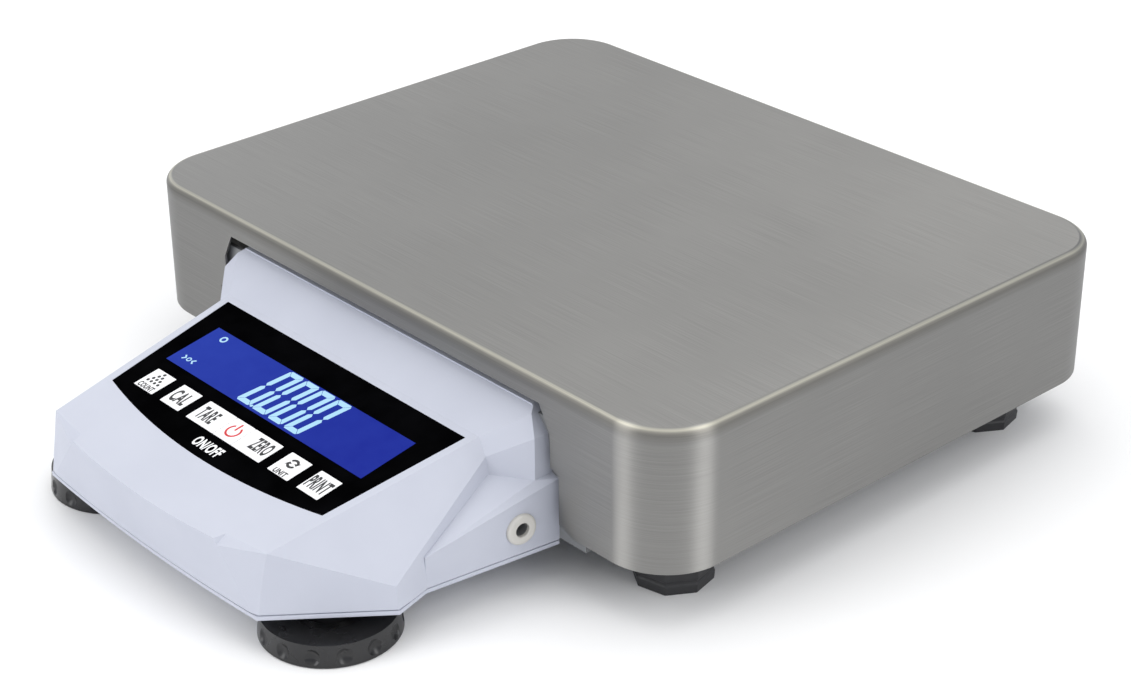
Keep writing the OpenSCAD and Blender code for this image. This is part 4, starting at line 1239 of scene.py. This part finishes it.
# %% Thumbwheels
WHEEL_R = 28.1
WHEEL_H = 9.7
WHEEL_TOP_R = 27.1
HUB_TOP = LOW_H - 3
STUD_BORE = 4.08
BORE_END = 3.7
HUB_R = 10
POCKET_EDGE_R = WHEEL_R - 4.15
DISH_R = 50
DISH_DEPTH = 2.6
DISH_STEPS = 8
DIMPLES = 14
DIMPLE_R = 5
DIMPLE_OUT = 3.2
DIMPLE_H = 5.05
SOLE_RIBS = [(0, 0.5), (4, 0.5), (4.5, 0), (8.5, 0), (9, 0.5), (11, 0.5), (11.5, 0), (15.5, 0),
             (16, 0.5), (18, 0.5), (18.5, 0), (23.6, 0), (23.95, 0.4), (23.95, 1.95), (0, 1.95)]


def dish_z(radius):
    """Height of the dished top at a radius."""
    return WHEEL_H + DISH_R - DISH_DEPTH - math.sqrt(DISH_R ** 2 - radius ** 2)


def wheel_blank():
    """The wheel's profile, from the roof of the sole's pocket round to the blind end of the bore."""
    dish_edge = math.sqrt(DISH_R ** 2 - (DISH_R - DISH_DEPTH) ** 2)
    dish_radii = [HUB_R + (dish_edge - HUB_R) * i / DISH_STEPS for i in range(DISH_STEPS - 1, -1, -1)]
    return [(0, 2), (POCKET_EDGE_R, 2), (POCKET_EDGE_R, 0.4), (WHEEL_R, 0.4), (WHEEL_TOP_R, WHEEL_H),
            (dish_edge, WHEEL_H), *[(radius, dish_z(radius)) for radius in dish_radii],
            (HUB_R, HUB_TOP), (STUD_BORE, HUB_TOP), (STUD_BORE, BORE_END), (0, BORE_END)]


for side, name in ((-1, "l"), (1, "r")):
    wheel = new_piece("wheel_" + name, lathe(wheel_blank(), 112), wheel_black)
    run_tree(wheel, finger_dimples, Dimples=DIMPLES, Circle_Radius=(WHEEL_R + DIMPLE_OUT) * MM,
             Height=DIMPLE_H * MM, Ball_Radius=DIMPLE_R * MM, Finish=wheel_black)
    stand = Matrix.Translation(place(side * WHEEL_X, WHEEL_D, 0))
    wheel.data.transform(stand)
    round_edges(wheel, 0.45, 3, 30)
    soften(wheel, 50)
    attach(wheel, "turn_wheel_" + name)
    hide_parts("thumbwheel_" + name)
    report(wheel)

    sole = new_piece("sole_" + name, lathe(SOLE_RIBS, 80, stand), rubber)
    soften(sole, 25)
    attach(sole, body_of(nodes["wheel_sole_" + name])[0])
    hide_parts("wheel_sole_" + name)

# %% [markdown]
# The four feet under the platform are eight-sided so that fingers can turn them. An eight-sided
# blank is tapered towards the floor, hollowed for its stud and eased all round. A shallow groove
# near the floor marks where the moulded body ends and the pad begins.

# %% Corner feet
FOOT_R_LOW = 16.6
FOOT_R_HIGH = 18.6
FOOT_H = 24
FOOT_TURN = 35.5
FOOT_BORE_END = 5.7
# Height above the floor, and how far in the groove is there.
GROOVE = [(4, 0), (4.6, 0.6), (5.8, 0.6), (6.4, 0)]


def foot_blank(x, y):
    """An eight-sided foot about a stud's place, in metres."""
    stand = Matrix.Translation((x, y, 0)) @ Matrix.Rotation(math.radians(FOOT_TURN), 4, "Z")
    slope = (FOOT_R_HIGH - FOOT_R_LOW) / FOOT_H
    groove = [(FOOT_R_LOW + slope * z - inset, z) for z, inset in GROOVE]
    hollow = [(0, 0.8), (FOOT_R_LOW - 3, 0.8), (FOOT_R_LOW - 4.4, 0)]
    outside = [(FOOT_R_LOW, 0), *groove, (FOOT_R_HIGH, FOOT_H)]
    bore = [(5.2, FOOT_H), (STUD_BORE, FOOT_H - 0.9), (STUD_BORE, FOOT_BORE_END), (0, FOOT_BORE_END)]
    return lathe(hollow + outside + bore, 8, stand)


for name in ("fl", "fr", "bl", "br"):
    stud_low, stud_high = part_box("foot_stud_" + name)
    middle = (stud_low + stud_high) / 2
    foot = new_piece("foot_" + name, foot_blank(middle.x, middle.y), foot_black)
    round_edges(foot, 0.3, 2, 25)
    soften(foot, 28)
    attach(foot, "turn_foot_" + name)
    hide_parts("corner_foot_" + name)
report(foot)

# %% [markdown]
# The power inlet is a turned flange with a rounded rim and a deep bore. The bore is lined in dark
# plastic so that the pin inside it shows. The flange is off-white, a warmer tone than the housing.

# %% Power inlet
inlet_white = moulded("inlet_white", (0.56, 0.545, 0.51), (0.61, 0.595, 0.56), 0.35, 0.45, 0.2)
inlet_dark = moulded("inlet_dark", (0.16, 0.165, 0.17), (0.22, 0.225, 0.23), 0.45, 0.6, 0.2)
FLANGE_R = 6.6
BORE_R = 2.95
RIM_WIDTH = 1.4
RIM_RISE = 1.1
PIN_GAP_R = 1.02
BARREL_R = 4.8
rim = [(FLANGE_R - RIM_WIDTH + RIM_WIDTH * math.cos(math.radians(a)),
        0.5 + RIM_RISE * math.sin(math.radians(a))) for a in range(0, 91, 15)]
mouth = [(BORE_R + 0.55, 1.6), (BORE_R + 0.12, 1.45), (BORE_R + 0.03, 0.9), (BORE_R + 0.03, 0.03)]
flange = [(FLANGE_R, 0.03)] + rim + mouth
inlet = new_piece("inlet_flange", lathe(flange, 72, jack_frame), inlet_white)
soften(inlet, 40)
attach(inlet, "root")
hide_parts("dc_jack")
tube = [(BARREL_R, 0), (BORE_R, 0), (BORE_R, -9.5), (PIN_GAP_R, -9.5), (PIN_GAP_R, -11), (BARREL_R, -11)]
barrel = new_piece("inlet_barrel", lathe(tube, 72, jack_frame), inlet_dark)
soften(barrel, 40)
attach(barrel, "root")
report(inlet)

# %% [markdown]
# Screws and bolts of one kind are the same piece many times over. One detailed head is turned and
# given its recess, and a small tree sets a copy on every point of a list of places. The points are
# the real screw places, so moving one needs a change of a single number.

# %% Tree for fasteners
def fastener_tree():
    """A copy of one fastener on every point of the piece."""
    tree = new_tree("fasteners", {"Screw": "Object", "Finish": "Material"})
    n, link = tree.nodes, tree.links
    given = n.new("NodeGroupInput")
    one = n.new("GeometryNodeObjectInfo")
    link.new(given.outputs["Screw"], one.inputs["Object"])
    copies = n.new("GeometryNodeInstanceOnPoints")
    link.new(given.outputs["Geometry"], copies.inputs["Points"])
    link.new(one.outputs["Geometry"], copies.inputs["Instance"])
    real = n.new("GeometryNodeRealizeInstances")
    link.new(copies.outputs["Instances"], real.inputs["Geometry"])
    coat = n.new("GeometryNodeSetMaterial")
    link.new(real.outputs["Geometry"], coat.inputs["Geometry"])
    link.new(given.outputs["Finish"], coat.inputs["Material"])
    link.new(coat.outputs["Geometry"], n.new("NodeGroupOutput").inputs["Geometry"])
    return tree


fasteners = fastener_tree()


def plated(name, dark, light, low, high):
    """Zinc plate: a metal with cloudy patches and a fine grain."""
    made = finish(name, Metallic=1.0)
    tint(made, noise(made, 160, detail=6), dark, light)
    roughen(made, noise(made, 320, detail=4), low, high)
    bump(made, noise(made, 1500, detail=2), 0.2, 0.01)
    return made


zinc = plated("zinc", (0.42, 0.43, 0.44), (0.56, 0.56, 0.55), 0.25, 0.4)
zinc_dull = plated("zinc_dull", (0.36, 0.37, 0.38), (0.47, 0.47, 0.47), 0.42, 0.58)
print("tree:", fasteners.name, "finishes:", zinc.name, zinc_dull.name)

# %% [markdown]
# The housing screws have low heads with a cross recess, and the load cell's bolts have hexagon
# heads with the corners turned off. Both heads come from the lathe, the cross and the hexagon are
# made with prisms, and the shank is left plain where it never shows.

# %% Screws and bolts
def cross_head(radius, height, shank, length):
    """A low cross-recessed head that faces down, with its shank going up."""
    profile = [(0, 0), (radius - 0.5, 0), (radius, 0.35), (radius, height), (shank, height),
               (shank, length), (0, length)]
    body = new_piece("screw", lathe(profile, 40), zinc)
    reach, half = radius * 0.55, 0.32
    arm = [(half, half), (half, reach), (-half, reach)]
    quarters = ((1, 0), (0, 1), (-1, 0), (0, -1))
    cross = [(x * c - y * s, x * s + y * c) for c, s in quarters for x, y in arm]
    carve(body, new_piece("cross", prism(cross, -0.5, height * 0.7), zinc))
    return soften(body, 30)


def hex_head(across, height, shank, length):
    """A hexagon head that faces down, with its corners turned off, and its shank going up."""
    corner = across / math.sqrt(3)
    body = new_piece("bolt", prism(circle(0, 0, corner, 6), 0, height), zinc)
    past, wide = height + 0.01, across / 2 + 1.2
    cone = lathe([(0, -0.01), (across / 2, -0.01), (wide, 0.7), (wide, past), (0, past)], 48)
    carve(body, new_piece("cone", cone, zinc), "INTERSECT")
    rod = lathe([(0, 0.5), (shank, 0.5), (shank, length), (0, length)], 32)
    carve(body, new_piece("shank", rod, zinc), "UNION")
    return soften(body, 25)


def set_out(name, screw, places, node, body):
    """One screw set on every place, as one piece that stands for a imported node."""
    points = bpy.data.meshes.new(name)
    points.from_pydata([tuple(p) for p in places], [], [])
    group = bpy.data.objects.new(name, points)
    bpy.context.scene.collection.objects.link(group)
    run_tree(group, fasteners, Screw=screw, Finish=zinc)
    bpy.data.objects.remove(screw)
    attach(group, body)
    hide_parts(node)
    return report(group)


set_out("case_screws", cross_head(2.8, 1.0, 1.5, 11), [place(x, d, LOW_H) for x, d in SCREW_PLACES],
        "housing_screws", "root")
BOLT_IN = 7.5
bolt_low, bolt_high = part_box("lower_cell_bolts")
bolt_y = (bolt_low.y + bolt_high.y) / 2
bolt_places = [Vector((x, bolt_y, bolt_low.z))
               for x in (bolt_low.x + BOLT_IN * MM, bolt_high.x - BOLT_IN * MM)]
set_out("cell_bolts", hex_head(13, 5, 4, (bolt_high.z - bolt_low.z) / MM), bolt_places,
        "lower_cell_bolts", body_of(nodes["lower_cell_bolts"])[0])

# %% [markdown]
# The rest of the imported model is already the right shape, and only wants its own surface: painted
# sheet, bare aluminium, green board, black chips and so on. Each is a small tree like the others.
# The studs get fine rings by a wave along their length, which reads as a thread from outside.

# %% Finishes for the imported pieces
STUD_PITCH = 1.25
# The distance in metres between a wave texture's bands at scale 1, which is a tenth of pi.
WAVE_STEP = 0.314


def threaded(name, pitch):
    """Zinc plate with rings at a thread's pitch, in millimetres."""
    made = plated(name, (0.42, 0.43, 0.44), (0.55, 0.55, 0.54), 0.28, 0.42)
    tree = made.node_tree
    source = tree.nodes.new("ShaderNodeTexCoord")
    rings = tree.nodes.new("ShaderNodeTexWave")
    rings.bands_direction = "Z"
    rings.wave_profile = "TRI"
    rings.inputs["Scale"].default_value = WAVE_STEP / (pitch * MM)
    tree.links.new(source.outputs["Object"], rings.inputs["Vector"])
    bump(made, rings.outputs["Fac"], 1.0, 0.5)
    return made


stud_thread = threaded("stud_thread", STUD_PITCH)
base_grey = moulded("base_grey", (0.20, 0.205, 0.21), (0.25, 0.255, 0.26), 0.45, 0.6, 0.6)
cell_alloy = plated("cell_alloy", (0.62, 0.63, 0.64), (0.72, 0.72, 0.73), 0.3, 0.42)
brass = plated("brass", (0.62, 0.45, 0.17), (0.74, 0.56, 0.25), 0.25, 0.4)
board_green = moulded("board_green", (0.010, 0.085, 0.035), (0.018, 0.13, 0.055), 0.3, 0.42, 0.2)
chip_black = moulded("chip_black", (0.016, 0.016, 0.018), (0.03, 0.03, 0.033), 0.5, 0.65, 0.3)
silicone = moulded("silicone", (0.70, 0.70, 0.68), (0.78, 0.78, 0.76), 0.4, 0.55, 0.3)
diffuser = moulded("diffuser", (0.72, 0.74, 0.78), (0.80, 0.82, 0.85), 0.3, 0.4, 0.1)
cable_grey = moulded("cable_grey", (0.10, 0.10, 0.105), (0.14, 0.14, 0.145), 0.5, 0.6, 0.3)
glass_dark = moulded("glass_dark", (0.004, 0.008, 0.05), (0.006, 0.012, 0.07), 0.12, 0.2, 0.05)
PACKED_FINISH = {
    "base_frame": base_grey, "load_cell": cell_alloy, "gauge_potting": silicone, "stud_inserts": brass,
    "dc_jack_pin": brass, "main_board": board_green, "display_board": board_green,
    "board_parts": chip_black, "tact_switches": chip_black, "lcd_panel": glass_dark,
    "lcd_backlight": diffuser, "ribbon_cable": diffuser, "signal_cable": cable_grey,
    "cable_grommet": rubber, "pan_bumpers": rubber,
}
carried = [n for n, o in nodes.items() if not o.hide_render]
for name in carried:
    made = PACKED_FINISH.get(name, stud_thread if "stud" in name else zinc_dull)
    nodes[name].data.materials.clear()
    nodes[name].data.materials.append(made)
print("finished", len(carried), "packed pieces:", ", ".join(sorted(carried)))
